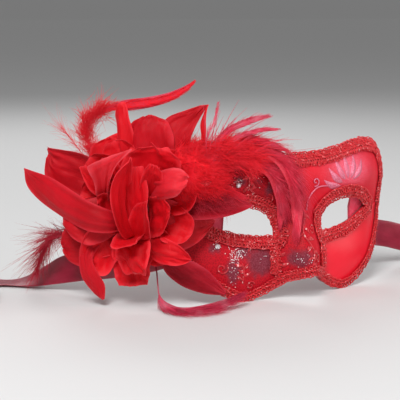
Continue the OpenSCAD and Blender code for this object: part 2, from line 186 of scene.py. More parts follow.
def thick_and_smooth(obj, thickness):
    solid = obj.modifiers.new("cloth thickness", "SOLIDIFY")
    solid.thickness, solid.offset = thickness * MM, 0.0
    soft = obj.modifiers.new("soft folds", "SUBSURF")
    soft.levels = soft.render_levels = 1


def lay_grid(bm, uv, cells):
    """A new grid with its UVs, as its points and where each lies: u from 0 to 1 and v from -1 to 1."""
    made = bmesh.ops.create_grid(bm, x_segments=cells[0], y_segments=cells[1], size=1.0)
    spots = {v: ((v.co.x + 1) / 2, v.co.y) for v in made["verts"]}
    for f in {f for v in spots for f in v.link_faces}:
        for loop in f.loops:
            u, v = spots[loop.vert]
            loop[uv].uv = (u, (v + 1) / 2)
    return spots


def cloth_grid(name, cells, place, material, thickness, marks=()):
    """A sheet whose points are put by place(u, v) and carry the marks."""
    bm = bmesh.new()
    uv = bm.loops.layers.uv.new("UVMap")
    layers = [(bm.verts.layers.float.new(key), value) for key, value in marks]
    for vert, (u, v) in lay_grid(bm, uv, cells).items():
        for layer, value in layers:
            vert[layer] = value(u, v)
        vert.co = place(u, v) * MM
    obj = piece(bm, name, material)
    thick_and_smooth(obj, thickness)
    return obj


def strands(name, lines, radius, material, sides=0, closed=False):
    """Thin cords, one for each line of points with a share of the radius at each."""
    curve = bpy.data.curves.new(name, "CURVE")
    curve.dimensions, curve.bevel_depth, curve.bevel_resolution = "3D", radius * MM, sides
    curve.use_fill_caps, curve.resolution_u = True, 1
    for points, shares in lines:
        spline = curve.splines.new("POLY")
        spline.points.add(len(points) - 1)
        for q, p, r in zip(spline.points, points, shares):
            q.co, q.radius = (*(Vector(p) * MM), 1), r
        spline.use_cyclic_u = closed
    rope = bpy.data.objects.new(name + "_line", curve)
    scene.collection.objects.link(rope)
    bpy.context.view_layer.update()
    mesh = bpy.data.meshes.new_from_object(rope.evaluated_get(bpy.context.evaluated_depsgraph_get()))
    bpy.data.objects.remove(rope)
    bpy.data.curves.remove(curve)
    mesh.name = name
    mesh.materials.clear()
    mesh.materials.append(material)
    for f in mesh.polygons:
        f.use_smooth = True
    obj = bpy.data.objects.new(name, mesh)
    scene.collection.objects.link(obj)
    return obj


# Finishes
MIX_SHARE, MIX_A, MIX_B, MIX_OUT = 0, 6, 7, 2


def srgb(text):
    values = [int(text[i:i + 2], 16) / 255 for i in (1, 3, 5)]
    return [v / 12.92 if v <= 0.04045 else ((v + 0.055) / 1.055) ** 2.4 for v in values] + [1.0]


class Finish:
    """A material and the nodes that feed it."""

    def __init__(self, name, roughness=0.5, **sockets):
        self.material = bpy.data.materials.new(name)
        self.material.use_nodes = True
        self.tree = self.material.node_tree
        self.shader = self.tree.nodes["Principled BSDF"]
        for key, value in {"Roughness": roughness, **sockets}.items():
            self.shader.inputs[key.replace("_", " ")].default_value = value

    def feed(self, socket, value):
        """Links a value from another node, or sets a plain value or colour."""
        if isinstance(value, bpy.types.NodeSocket):
            self.tree.links.new(value, socket)
        else:
            socket.default_value = srgb(value) if isinstance(value, str) else value

    def node(self, kind, settings=(), **inputs):
        made = self.tree.nodes.new(kind)
        for key, value in settings:
            setattr(made, key, value)
        for key, value in inputs.items():
            self.feed(made.inputs[key.replace("_", " ")], value)
        return made

    def paint(self, colour):
        self.feed(self.shader.inputs["Base Color"], colour)

    def place(self, kind="Object", scale=(1, 1, 1)):
        coord = self.node("ShaderNodeTexCoord")
        return self.node("ShaderNodeMapping", Vector=coord.outputs[kind], Scale=scale).outputs[0]

    def mark(self, name):
        return self.node("ShaderNodeAttribute", [("attribute_name", name)]).outputs["Fac"]

    def each(self):
        """A number from 0 to 1 for each loose part of the piece."""
        return self.node("ShaderNodeNewGeometry").outputs["Random Per Island"]

    def noise(self, where, scale, detail=2.0):
        return self.node("ShaderNodeTexNoise", Vector=where, Scale=scale, Detail=detail).outputs["Fac"]

    def grain(self, kind, scale, detail=2.0):
        """Noise with a scale of its own along each axis."""
        return self.noise(self.place(kind, scale), 1.0, detail)

    def ramp(self, value, *stops):
        made = self.node("ShaderNodeValToRGB", Fac=value)
        points = made.color_ramp.elements
        while len(points) < len(stops):
            points.new(0.5)
        for point, (at, colour) in zip(points, stops):
            point.position = at
            point.color = srgb(colour) if isinstance(colour, str) else (colour, colour, colour, 1)
        return made.outputs["Color"]

    def share(self, value, low=0.3, high=0.7, most=1.0):
        """Grows from 0 to most, where the value goes from low to high."""
        return self.ramp(value, (low, 0.0), (high, most))

    def blend(self, share, a, b):
        made = self.node("ShaderNodeMix", [("data_type", "RGBA")])
        for at, value in ((MIX_SHARE, share), (MIX_A, a), (MIX_B, b)):
            self.feed(made.inputs[at], value)
        return made.outputs[MIX_OUT]

    def maths(self, operation, a, b):
        made = self.node("ShaderNodeMath", [("operation", operation)])
        for socket, value in zip(made.inputs, (a, b)):
            self.feed(socket, value)
        return made.outputs[0]

    def add(self, a, b):
        return self.maths("ADD", a, b)

    def times(self, a, b):
        return self.maths("MULTIPLY", a, b)

    def bump(self, height, strength, distance):
        made = self.node("ShaderNodeBump", Height=height, Strength=strength, Distance=distance * MM)
        self.feed(self.shader.inputs["Normal"], made.outputs[0])


def organza(name, deep, bright, rim, root):
    """Stiff cloth, with a painted highlight along its rim and painted shade deepening towards its root."""
    f = Finish(name, 0.5, Sheen_Weight=0.05, Sheen_Roughness=0.35, Sheen_Tint=(1.0, 0.35, 0.4, 1.0),
               Subsurface_Weight=0.2, Subsurface_Scale=0.0012, Subsurface_Radius=(1.0, 0.12, 0.12),
               Specular_IOR_Level=0.12)
    cloud = f.grain("Object", (55, 55, 55), 3.0)
    fibre = f.grain("UV", (3, 90, 1), 3.0)
    crease = f.grain("UV", (5, 16, 1), 4.0)
    colour = f.blend(f.share(cloud), deep, bright)
    # Painted shade: the colour deepens towards the root, in the heart of the flower.
    colour = f.blend(f.share(f.mark("root"), 0.45, 0.95, 0.6), colour, root)
    # Painted highlight: the colour turns paler along the rim.
    colour = f.blend(f.share(f.mark("rim"), 0.78, 1.0, 0.7), colour, rim)
    f.paint(f.blend(f.share(fibre, 0.25, 0.75, 0.15), colour, rim))
    f.bump(f.add(f.times(fibre, 0.35), crease), 0.5, 0.5)
    return f.material


def ribbon_satin():
    f = Finish("ribbon_satin", 0.34, Sheen_Weight=0.3, Sheen_Roughness=0.3, Sheen_Tint=(1.0, 0.5, 0.6, 1.0),
               Anisotropic=0.5, Specular_IOR_Level=0.6, Subsurface_Weight=0.4, Subsurface_Scale=0.002,
               Subsurface_Radius=(1.0, 0.15, 0.25))
    streak = f.grain("UV", (14, 3, 1), 4.0)
    f.paint(f.blend(f.share(streak, 0.3, 0.75), "#7c1028", "#a02842"))
    f.bump(f.grain("UV", (4, 160, 1)), 0.35, 0.15)
    return f.material


def cheek_satin():
    f = Finish("cheek_satin", 0.36, Sheen_Weight=0.12, Sheen_Roughness=0.35,
               Sheen_Tint=(1.0, 0.25, 0.35, 1.0), Anisotropic=0.35, Specular_IOR_Level=0.28)
    f.paint(f.blend(f.share(f.grain("Object", (40, 40, 40))), "#de0e24", "#ea1a30"))
    f.bump(f.grain("Object", (900, 900, 2600)), 0.25, 0.12)
    return f.material


def lace_cloth():
    """Red cloth, netted at its left and painted darker there, partly in the net's own tone and partly as
    painted shade, with dull sheer cloth in the openings and a painted sheen on the brow.
    """
    f = Finish("lace_cloth", 0.5, Sheen_Weight=0.06, Sheen_Roughness=0.4, Sheen_Tint=(1.0, 0.3, 0.4, 1.0),
               Specular_IOR_Level=0.14)
    where = f.place()
    cloud = f.grain("Object", (90, 90, 90), 3.0)
    cells = f.node("ShaderNodeTexVoronoi", [("feature", "DISTANCE_TO_EDGE")], Vector=where, Scale=700.0)
    net, netted_and_painted_shade = cells.outputs["Distance"], f.mark("netted_and_painted_shade")
    holes = f.times(f.share(net, 0.04, 0.16), netted_and_painted_shade)
    grain = f.share(f.noise(where, 1500.0), 0.4, 0.65)
    cloth = f.blend(f.share(cloud), "#c90e22", "#dd1a2d")
    # Painted shade: the netted left is darker, partly in the net's own tone and partly as shade from the
    # flower.
    cloth = f.blend(f.times(netted_and_painted_shade, 0.4), cloth, "#ab0a1a")
    cloth = f.blend(f.times(holes, 0.5), cloth, "#820715")
    cloth = f.blend(f.mark("sheer"), cloth, f.blend(grain, "#74202e", "#8c3c4a"))
    # Painted sheen: a pale pink patch on the brow.
    f.paint(f.blend(f.mark("pale"), cloth, f.blend(grain, "#ea5470", "#f48a9e")))
    f.bump(f.add(net, cloud), 0.4, 0.25)
    return f.material


def plaited_thread(name, deep, bright, glint):
    """Shiny thread with a few bright specks painted as glints."""
    f = Finish(name, 0.42, Sheen_Weight=0.15, Sheen_Tint=(1.0, 0.5, 0.5, 1.0), Specular_IOR_Level=0.45)
    where = f.place()
    tone = f.share(f.noise(where, 700.0), 0.35, 0.65)
    cell = f.node("ShaderNodeTexVoronoi", Vector=where, Scale=1100.0).outputs["Color"]
    # Painted glints: a few cells take the glint colour.
    painted_glint_speck = f.share(f.node("ShaderNodeSeparateColor", Color=cell).outputs[0], 0.9, 0.97)
    f.paint(f.blend(painted_glint_speck, f.blend(tone, deep, bright), glint))
    f.bump(f.grain("Object", (2400, 2400, 2400)), 0.4, 0.15)
    return f.material


def rooted(f, colour, root):
    """The colour, which turns into the root's colour from one place on an axis to another: the plumes' own
    tint, and painted shade where the floor feather rises.
    """
    if not root:
        return colour
    root_colour, axis, near, far = root
    place = f.node("ShaderNodeSeparateXYZ", Vector=f.place()).outputs[axis]
    share = f.node("ShaderNodeMapRange", Value=place, From_Min=near * MM, From_Max=far * MM).outputs[0]
    return f.blend(share, root_colour, colour)


def down(name, deep, bright, sheen, root=None):
    """Loose barbs, each with a tone of its own."""
    f = Finish(name, 0.6, Sheen_Weight=0.15, Sheen_Roughness=0.35, Sheen_Tint=(1.0, 0.3, 0.35, 1.0),
               Specular_IOR_Level=0.2)
    cloud = f.grain("Object", (120, 120, 120))
    colour = f.blend(f.each(), deep, bright)
    # Painted sheen: patches of noise turn towards the sheen colour.
    f.paint(rooted(f, f.blend(f.share(cloud, 0.45, 0.75, 0.5), colour, sheen), root))
    return f.material


def feather_web(name, deep, bright, sheen, root=None):
    """The closed web of a feather, with fine slanting lines of barbs."""
    f = Finish(name, 0.45, Sheen_Weight=0.25, Sheen_Roughness=0.35, Sheen_Tint=(1.0, 0.55, 0.65, 1.0),
               Specular_IOR_Level=0.35, Subsurface_Weight=0.25, Subsurface_Scale=0.001,
               Subsurface_Radius=(1.0, 0.2, 0.25))
    barbs = f.grain("UV", (70, 3, 1), 3.0)
    painted_sheen_streaks = f.grain("UV", (3, 26, 1), 3.0)
    colour = f.blend(f.share(barbs), deep, bright)
    # Painted sheen: streaks along the web turn towards the sheen colour.
    f.paint(rooted(f, f.blend(f.share(painted_sheen_streaks, 0.45, 0.75, 0.7), colour, sheen), root))
    f.bump(f.add(barbs, painted_sheen_streaks), 0.6, 0.4)
    return f.material


def shimmer_leaf():
    f = Finish("shimmer_leaf", 0.3, Metallic=0.35, Specular_IOR_Level=0.6)
    vein = f.grain("UV", (4, 40, 1), 3.0)
    grain = f.noise(f.place(), 1600.0)
    colour = f.blend(f.share(vein, 0.35, 0.7), "#d03a58", "#dc7a98")
    f.paint(f.blend(f.share(grain, 0.45, 0.75, 0.5), colour, "#eebccb"))
    f.bump(f.add(vein, grain), 0.5, 0.2)
    return f.material


def plain_red(name, deep, bright, scale, roughness=0.7, depth=0.25):
    f = Finish(name, roughness, Sheen_Weight=0.2)
    cloud = f.noise(f.place(), scale, 4.0)
    f.paint(f.blend(f.share(cloud), deep, bright))
    f.bump(cloud, 0.5, depth)
    return f.material


def cut_stone():
    f = Finish("cut_stone", 0.06, Specular_IOR_Level=0.9, Metallic=0.5, Coat_Weight=0.6)
    f.paint(f.blend(f.share(f.noise(f.place(), 900.0, 1.0), 0.35, 0.65), "#d8ccd4", "#ffffff"))
    return f.material


def glitter():
    f = Finish("glitter", 0.2, Specular_IOR_Level=0.9, Coat_Weight=0.5)
    f.paint(f.ramp(f.each(), (0.0, "#d8b8c4"), (0.5, "#ffffff"), (0.85, "#f0a8b4"), (1.0, "#ffffff")))
    return f.material


# One organza in four copies. The pale copy is painted light, and the dark and shade copies are painted shade,
# each chosen for how the light falls on its petals. In each copy, the third colour is the painted rim
# highlight and the fourth is the painted shade towards the root.
PETAL = organza("petal_organza", "#c40614", "#dc0c1c", "#f03844", "#920410")
PAINTED_LIGHT_PETAL = organza("painted_light_organza", "#ce1725", "#dd2532", "#f05460", "#b20a18")
PAINTED_SHADE_PETAL = organza("painted_shade_organza", "#aa0814", "#c60e1e", "#de3442", "#8c0815")
PAINTED_DEEP_SHADE_PETAL = organza("painted_deep_shade_organza", "#8e0c1a", "#aa1426", "#bc2e40", "#780612")
SATIN = cheek_satin()
LACE = lace_cloth()
SHELL = plain_red("shell_inside", "#8a1020", "#a01826", 300.0, 0.6)
BRAID = plaited_thread("braid_thread", "#c40c1a", "#e22733", "#f08183")
BRAID_DARK = plaited_thread("braid_core", "#a80a18", "#cc1826", "#d85058")
RIBBON = ribbon_satin()
DOWN = down("feather_down", "#e61422", "#f52435", "#f5384b")
PLUME_DOWN = down("plume_down", "#c71a33", "#e63752", "#eb627a", ("#f0162a", "X", -52, -28))
DARK_DOWN = down("dark_down", "#9c1226", "#c41e34", "#d84a5c")
WEB = feather_web("plume_web", "#c7152b", "#dd2a42", "#e65a76", ("#e41428", "X", -52, -28))
# Painted shade: the floor feather turns darker as it rises from 4 to 18 mm over the floor.
FLOOR_DOWN = down("floor_down", "#b41a38", "#d83c5c", "#f0a4b4", ("#86102a", "Z", 18, 4))
FLOOR_WEB = feather_web("floor_web", "#a01836", "#cc3056", "#f0a4b6", ("#6a0a1a", "Z", 18, 4))
CREST_DOWN = down("crest_down", "#c41c3c", "#e04060", "#f09cac")
CREST_WEB = feather_web("crest_web", "#c01834", "#dc3454", "#ec7c94")
LEAF = shimmer_leaf()
CORD_LACE = plaited_thread("lace_cord", "#a80c1a", "#d42030", "#f0b0b0")
FELT = plain_red("felt", "#7c0a14", "#981420", 1500.0, 0.9, 0.4)
# The ribbon tabs are painted a lighter pink than the ribbon they end, as painted light falling through the
# eye holes.
PAINTED_LIGHT_TAB = plain_red("painted_light_tab_satin", "#dc2648", "#ec4060", 200.0, 0.4, 0.1)
STONE = cut_stone()
GLITTER = glitter()

# Camera
TARGET, AWAY = Vector((-37.6, -15.8, 52.4)), 700.0
AZIMUTH, ELEVATION = math.radians(-30.0), math.radians(9.0)
LENS, SENSOR, FRAME_PX, CLIP_START = 106.07, 36.0, 400, 0.01
CAMERA_RIGHT = Vector((math.cos(AZIMUTH), math.sin(AZIMUTH), 0))
CAMERA_BACK = Vector((math.sin(AZIMUTH) * math.cos(ELEVATION), -math.cos(AZIMUTH) * math.cos(ELEVATION),
                      math.sin(ELEVATION)))
CAMERA_UP = CAMERA_BACK.cross(CAMERA_RIGHT)
CAMERA_AT = TARGET + AWAY * CAMERA_BACK


def add_camera():
    data = bpy.data.cameras.new("camera")
    data.lens, data.sensor_width, data.sensor_fit = LENS, SENSOR, "HORIZONTAL"
    data.clip_start = CLIP_START
    camera = bpy.data.objects.new("camera", data)
    camera.location = CAMERA_AT * MM
    camera.rotation_euler = (-CAMERA_BACK).to_track_quat("-Z", "Y").to_euler()
    scene.collection.objects.link(camera)
    scene.camera = camera


add_camera()

# Ribbons, by points along the middle of each with the lean of its width in degrees
LEFT_ROUTE = [(-62.6, -46.2, 36.6, 0), (-70, -40.4, 31, 0), (-78, -33.5, 25.5, 0), (-94, -14, 19.5, 0),
              (-107, 5, 15.5, 5), (-114, 19, 11.5, 25), (-119.5, 30, 7, 50), (-126.5, 39.5, 3, 75),
              (-133, 45.5, 1.2, 90), (-141, 50.5, 1, 90), (-150, 55, 2.4, 80), (-160, 59, 5.5, 55),
              (-170, 61.5, 7.9, 25), (-180, 62.8, 8.6, 5), (-190, 63.2, 8.6, 0), (-200, 63.2, 8.6, 0)]
RIGHT_ROUTE = [(62.6, -46.2, 36.6, 0), (70, -40.4, 31, 0), (78, -33.5, 25.5, 0), (88, -27, 22.8, 0),
               (98, -24.5, 20.5, 0), (109, -24, 17.3, 0), (120, -24.5, 14, 0), (132, -26, 11.2, 0),
               (145, -29.6, 9.2, 0), (158, -32.2, 8.6, 0)]
LEFT_COIL, RIGHT_COIL, COIL_FROM, COIL_PITCH, COIL_STEP = (-200, 18.4), (158, -77), 90, 8.0, 5.0
ROUTE_PARTS, RIBBON_LANES, RIBBON_T, RIBBON_BULGE, RIBBON_WAVES = 4, 6, 0.4, 0.25, 21.0


def ribbon_line(route, coil, turn):
    """Points of the ribbon's middle with the lean of its width, along the route and round the coil."""
    points = [(Vector(p[:3]), p[3]) for p in dense_curve(route, ROUTE_PARTS)]
    done = sum((b[0] - a[0]).length for a, b in zip(points, points[1:]))
    last = points[-1][0]
    radius = math.hypot(last.x - coil[0], last.y - coil[1])
    turned = 0.0
    while done < RIBBON_LENGTH:
        step = min(COIL_STEP, RIBBON_LENGTH - done)
        turned += step / (radius - COIL_PITCH * turned / (2 * math.pi))
        r = radius - COIL_PITCH * turned / (2 * math.pi)
        a = math.radians(COIL_FROM) + turn * turned
        points.append((Vector((coil[0] + r * math.cos(a), coil[1] + r * math.sin(a), last.z)), 0.0))
        done += step
    return points


def add_ribbon(side, route, coil, turn):
    line = ribbon_line(route, coil, turn)
    frames = []
    for i, (p, lean) in enumerate(line):
        way = (line[min(len(line) - 1, i + 1)][0] - line[max(0, i - 1)][0]).normalized()
        level = way.cross(Vector((0, 0, 1))).normalized()
        up = level.cross(way)
        a = math.radians(lean)
        frames.append((p, math.cos(a) * up + math.sin(a) * level, way))

    def put(u, v):
        p, wide, way = frames[round(u * (len(frames) - 1))]
        bulge = RIBBON_BULGE * (1 - v * v) * math.sin(u * RIBBON_WAVES)
        return p + wide * v * RIBBON_W / 2 + wide.cross(way) * bulge

    obj = cloth_grid(side + "_tie_ribbon", (len(frames) - 1, RIBBON_LANES), put, RIBBON, RIBBON_T)
    keep(obj, "ribbon", side + "_ribbon", side + "_ribbon_coil")


add_ribbon("left", LEFT_ROUTE, LEFT_COIL, 1)
add_ribbon("right", RIGHT_ROUTE, RIGHT_COIL, -1)

# Shell and fabric covers
PER_SPAN, BRIDGE_STEPS = 2, 8
TOP_SPAN = len(EDGE) - 1
CHEEK_STEPS = (AT_TEMPLE - AT_NOSE) * PER_SPAN
BRIDGE_FROM = CHEEK_STEPS + (TOP_SPAN - AT_TEMPLE) * PER_SPAN
BRIDGE_TO = BRIDGE_FROM + BRIDGE_STEPS
LOOP_N = BRIDGE_TO + AT_NOSE * PER_SPAN
EYE_LOWER = EYE_RIM[:OUTER_CORNER + 1]
EYE_UPPER = EYE_RIM[OUTER_CORNER:] + EYE_RIM[:1]
SHEET_FINE, SHEET_LANES, WELD, COVER_AT = 3, 14, 0.02, COVER_T / 2 + 0.03
# Where the net ends, towards the right, together with the painted shade that goes with it, and the middle,
# reach and strength of the painted sheen on the brow
NET_END, NET_FADE = 8, 12
PAINTED_SHEEN_AT, PAINTED_SHEEN_REACH, PAINTED_SHEEN_MOST = (40, 70.5), (15, 9), 0.9
# Where the lace is open and the sheer cloth shows: middle, reach across and up, tilt
SHEER = [((-24.5, 22.5), 11, 10.5, 0), ((-41.5, 18), 5.5, 9, -8), ((-35, 28.5), 7, 4.5, 15),
         ((-5.2, 24), 7.5, 6, 0), ((-38, 76), 4, 3, 0), ((-37, 69.5), 5, 3.2, 10), ((-27, 69), 3, 2.5, 0),
         ((-20, 63.5), 3.5, 4, 0), ((-51, 31), 4, 3, 0)]
SHEER_OUT, SHEER_FADE, SHEER_RAGGED, SHEER_FRAY = 1.05, 0.55, 0.3, 0.12


def rim_at(i):
    if i <= BRIDGE_FROM:
        return edge_at(AT_NOSE + i / PER_SPAN)
    if i <= BRIDGE_TO:
        return edge_at(TOP_SPAN).lerp(edge_at(0), (i - BRIDGE_FROM) / BRIDGE_STEPS)
    return edge_at((i - BRIDGE_TO) / PER_SPAN)


def eye_at(i):
    if i <= CHEEK_STEPS:
        p = along(EYE_LOWER, i / CHEEK_STEPS)
    else:
        p = along(EYE_UPPER, (i - CHEEK_STEPS) / (LOOP_N - CHEEK_STEPS))
    return Vector((EYE_X + p.x * EYE_W / 2, EYE_Z + p.y * EYE_H / 2))


def sheer_share(x, z):
    best = 0.0
    ragged = SHEER_RAGGED * wander(x * 0.3, z * 0.3, 3.0) + SHEER_FRAY * wander(x, z, 9.0)
    for (mx, mz), rx, rz, tilt in SHEER:
        a = math.radians(tilt)
        dx, dz = x - mx, z - mz
        p = (dx * math.cos(a) + dz * math.sin(a)) / rx
        q = (dz * math.cos(a) - dx * math.sin(a)) / rz
        best = max(best, ease((SHEER_OUT + ragged - math.hypot(p, q)) / SHEER_FADE))
    return best


def face_sheet(name, sides, first, last, h, thickness, material):
    """A sheet formed over the face, between the edge of the mask and its eye holes."""
    bm = bmesh.new()
    sheer, netted_and_painted_shade, pale = [bm.verts.layers.float.new(key) for key in ("sheer", "netted_and_painted_shade", "pale")]
    for side in sides:
        cells = (last - first) * SHEET_FINE
        made = bmesh.ops.create_grid(bm, x_segments=cells, y_segments=SHEET_LANES, size=1.0)
        for v in made["verts"]:
            i, j = first + (last - first) * (v.co.x + 1) / 2, (v.co.y + 1) / 2
            p = rim_at(i).lerp(eye_at(i), j)
            x, z = side * p.x, p.y
            v[sheer] = sheer_share(x, z)
            # The netted mark also carries painted shade, and the pale mark is a painted sheen.
            v[netted_and_painted_shade] = ease((NET_END - x) / NET_FADE)
            v[pale] = PAINTED_SHEEN_MOST * bell(x - PAINTED_SHEEN_AT[0], PAINTED_SHEEN_REACH[0]) * bell(z - PAINTED_SHEEN_AT[1], PAINTED_SHEEN_REACH[1])
            v.co = on_mask(x, z, h) * MM
    bmesh.ops.remove_doubles(bm, verts=bm.verts, dist=WELD * MM)
    bmesh.ops.recalc_face_normals(bm, faces=bm.faces)
    obj = piece(bm, name, material)
    solid = obj.modifiers.new("sheet thickness", "SOLIDIFY")
    solid.thickness, solid.offset, solid.use_rim = thickness * MM, 0.0, True
    return obj


keep(face_sheet("formed_shell", (1, -1), 0, LOOP_N, -SHELL_T / 2, SHELL_T, SHELL), "shell", "mask_shell")
for name, sides, first, last, material, slot, node in (
        ("lace_brow_and_nose", (1, -1), CHEEK_STEPS, LOOP_N, LACE, "lace", "brow_nose_cover"),
        ("lace_left_cheek", (-1,), 0, CHEEK_STEPS, LACE, "lace", "left_cheek_cover"),
        ("satin_right_cheek", (1,), 0, CHEEK_STEPS, SATIN, "satin", "right_cheek_cover")):
    keep(face_sheet(name, sides, first, last, COVER_AT, COVER_T, material), slot, node)

# Braids, with the sizes of their tape and of their loops of cord
BRAID_PART, NOSE_SHORT, NOSE_POINTS, EYE_LOOPS_W = 0.02, 1.6, 5, 6.6
BRAID_STEP, BRAID_AT, SPAN_PARTS, AHEAD = 0.25, COVER_T + GLUE, 8, 3
TAPE_H, TAPE_SHARE, TAPE_T, TAPE_LANES, TAPE_EVERY = 0.5, 0.8, 0.7, 4, 6
LOOP_PITCH, LOOP_R, LOOP_CORD, LOOP_POINTS = 1.75, 1.05, 0.36, 9
LOOP_INSET, LOOP_CROWN, LOOP_LIFT, LOOP_WAVE = 0.6, 0.35, 0.5, 0.45
LOOP_SIZES, LOOP_DRIFT, LOOP_RISE, CORD_SHARES = (0.7, 1.2), (-0.35, 0.35), (-0.2, 0.3), (0.85, 1.15)


def flat_path(points, closed):
    """Closely spaced points of a path across the face, each with the direction to its left."""
    pts = [Vector((p.x, p.y, 0)) for p in points]
    if closed:
        pts = [pts[-1]] + pts + pts[:2]
    first, last = (1, len(pts) - 2) if closed else (0, len(pts) - 1)
    steps = range(first * SPAN_PARTS, last * SPAN_PARTS + (0 if closed else 1))
    dense = resample([through(pts, k / SPAN_PARTS) for k in steps], BRAID_STEP, closed)
    n = len(dense)
    out = []
    for i, p in enumerate(dense):
        a = dense[(i - AHEAD) % n] if closed else dense[max(0, i - AHEAD)]
        b = dense[(i + AHEAD) % n] if closed else dense[min(n - 1, i + AHEAD)]
        t = (b - a).normalized()
        out.append((Vector((p.x, p.y)), Vector((-t.y, t.x))))
    return out


def add_braid(name, node, path, width, shift, rows, closed=False):
    """Braid of rows of small loops of cord, on a flat tape."""
    way = [(p + left * shift, left) for p, left in flat_path(path, closed)]
    count = len(way)
    spots = [on_mask(p.x, p.y, BRAID_AT) for p, _ in way]
    far = [0.0]
    for a, b in zip(spots, spots[1:] + (spots[:1] if closed else [])):
        far.append(far[-1] + (b - a).length)
    total = far[-1]
    loops = max(3, round(total / LOOP_PITCH))
    rng = random.Random(name)

    def at(s):
        s = s % total if closed else max(0.0, min(total, s))
        k = min(count - 1, max(0, int(s / total * (len(far) - 1))))
        while k > 0 and far[k] > s:
            k -= 1
        while k < count - 1 and far[k + 1] <= s:
            k += 1
        return way[k]

    lines = []
    for row in range(rows):
        side = (2 * row / (rows - 1) - 1) * (width / 2 - LOOP_R * LOOP_INSET)
        crown = LOOP_CROWN * (1 - (side / (width / 2)) ** 2)
        turning, start = (1, LOOP_PITCH / 2) if row % 2 else (-1, 0)
        points, shares = [], []
        for k in range(loops * LOOP_POINTS + (0 if closed else 1)):
            if k % LOOP_POINTS == 0:
                r = LOOP_R * rng.uniform(*LOOP_SIZES)
                drift, rise = rng.uniform(*LOOP_DRIFT), rng.uniform(*LOOP_RISE)
            turn = 2 * math.pi * k / LOOP_POINTS
            p, left = at(total * k / (loops * LOOP_POINTS) + turning * r * math.sin(turn) + start)
            q = p + left * (side + drift + r * math.cos(turn))
            lift = LOOP_LIFT + crown + rise + LOOP_WAVE * math.sin(turn + row)
            points.append(on_mask(q.x, q.y, BRAID_AT + LOOP_CORD + max(0.0, lift)))
            shares.append(rng.uniform(*CORD_SHARES))
        lines.append((points, shares))
    keep(strands(name, lines, LOOP_CORD, BRAID, closed=closed), "braid", node)

    def put(u, v):
        p, left = way[round(u * (count - (0 if closed else 1))) % count]
        q = p + left * v * TAPE_SHARE * width / 2
        return on_mask(q.x, q.y, BRAID_AT + TAPE_H)

    keep(cloth_grid(name + "_tape", (count // TAPE_EVERY, TAPE_LANES), put, BRAID_DARK, TAPE_T), "braid")


def mirrored(points):
    return [Vector((-p.x, p.y)) for p in points]


brow_right = [edge_at(AT_TEMPLE + max(k / PER_SPAN, BRAID_PART))
              for k in range((TOP_SPAN - AT_TEMPLE) * PER_SPAN + 1)]
jaw_right = [edge_at(k / PER_SPAN) for k in range(AT_TEMPLE * PER_SPAN + 1)]
eye_loop = [eye_at(i) for i in range(LOOP_N)]
nose_from, nose_to = eye_at(0), rim_at(0)
nose_way, nose_far = (nose_to - nose_from).normalized(), (nose_to - nose_from).length
nose_line = [nose_from + nose_way * mix(BRAID_W, nose_far - NOSE_SHORT * BRAID_W, k / NOSE_POINTS)
             for k in range(NOSE_POINTS + 1)]
brow = brow_right + mirrored(brow_right[-2::-1])
jaw = mirrored(jaw_right[:0:-1]) + jaw_right
add_braid("brow_gimp", "brow_braid", brow, BROW_BRAID_W, BROW_BRAID_W / 2, 5)
add_braid("jaw_gimp", "jaw_braid", jaw, BRAID_W, BRAID_W / 2, 3)
add_braid("right_eye_gimp", "right_eye_braid", eye_loop, EYE_LOOPS_W, -EYE_LOOPS_W / 2, 4, True)
add_braid("left_eye_gimp", "left_eye_braid", mirrored(eye_loop), EYE_LOOPS_W, EYE_LOOPS_W / 2, 4, True)
add_braid("right_nose_gimp", "right_nose_braid", nose_line, BRAID_W, 0.0, 3)
add_braid("left_nose_gimp", "left_nose_braid", mirrored(nose_line), BRAID_W, 0.0, 3)

# Flower, in a frame of its own on the felt disc
BASE_T, BASE_GLUE, BASE_R, FLOWER_PAST, FLOWER_AT = 2.0, 1.2, 20.0, 12.0, (-0.94, 0.66)
OUT = Vector((-0.73, -0.68, 0.05)).normalized()
ACROSS = Vector((0, 0, 1)).cross(OUT).normalized()
UP = OUT.cross(ACROSS)
SEAT = (on_mask(FLOWER_AT[0] * HALF_W, FLOWER_AT[1] * MASK_H, COVER_T + GLUE + BRAID_T)
        + BASE_GLUE * OUT - FLOWER_PAST * ACROSS)
PETAL_ROOT, ROOT_W, PETAL_T = 7.75, 3.2, 0.32


def at_flower(a, b, c):
    return SEAT + a * ACROSS + b * UP + (BASE_T + c) * OUT


def seen_at(px, py, height):
    """The place in the flower's frame, at a height over its base, that the photograph shows at a pixel."""
    focal, middle = LENS / SENSOR * FRAME_PX, FRAME_PX / 2
    ray = (px - middle) / focal * CAMERA_RIGHT + (middle - py) / focal * CAMERA_UP - CAMERA_BACK
    base = at_flower(0, 0, height)
    place = CAMERA_AT + (base - CAMERA_AT).dot(OUT) / ray.dot(OUT) * ray - base
    return Vector((place.dot(ACROSS), place.dot(UP), height))


def folds(u, v, numbers, seed):
    """Smooth folds of cloth, so many along it and so many across it."""
    return wander(u * numbers[0], v * numbers[1], seed)


def seed_of(name):
    return sum(ord(c) for c in name) * 0.37


def keep_petal(node, cells, put, material):
    # The rim mark places the organza's painted highlight, and the root mark places its painted shade.
    marks = [("rim", lambda u, v: max(abs(v), (u - 0.5) * 2)), ("root", lambda u, v: 1 - u)]
    obj = cloth_grid(node + "_cloth", cells, put, material, PETAL_T, marks)
    keep(obj, "petal", *([node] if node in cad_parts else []))


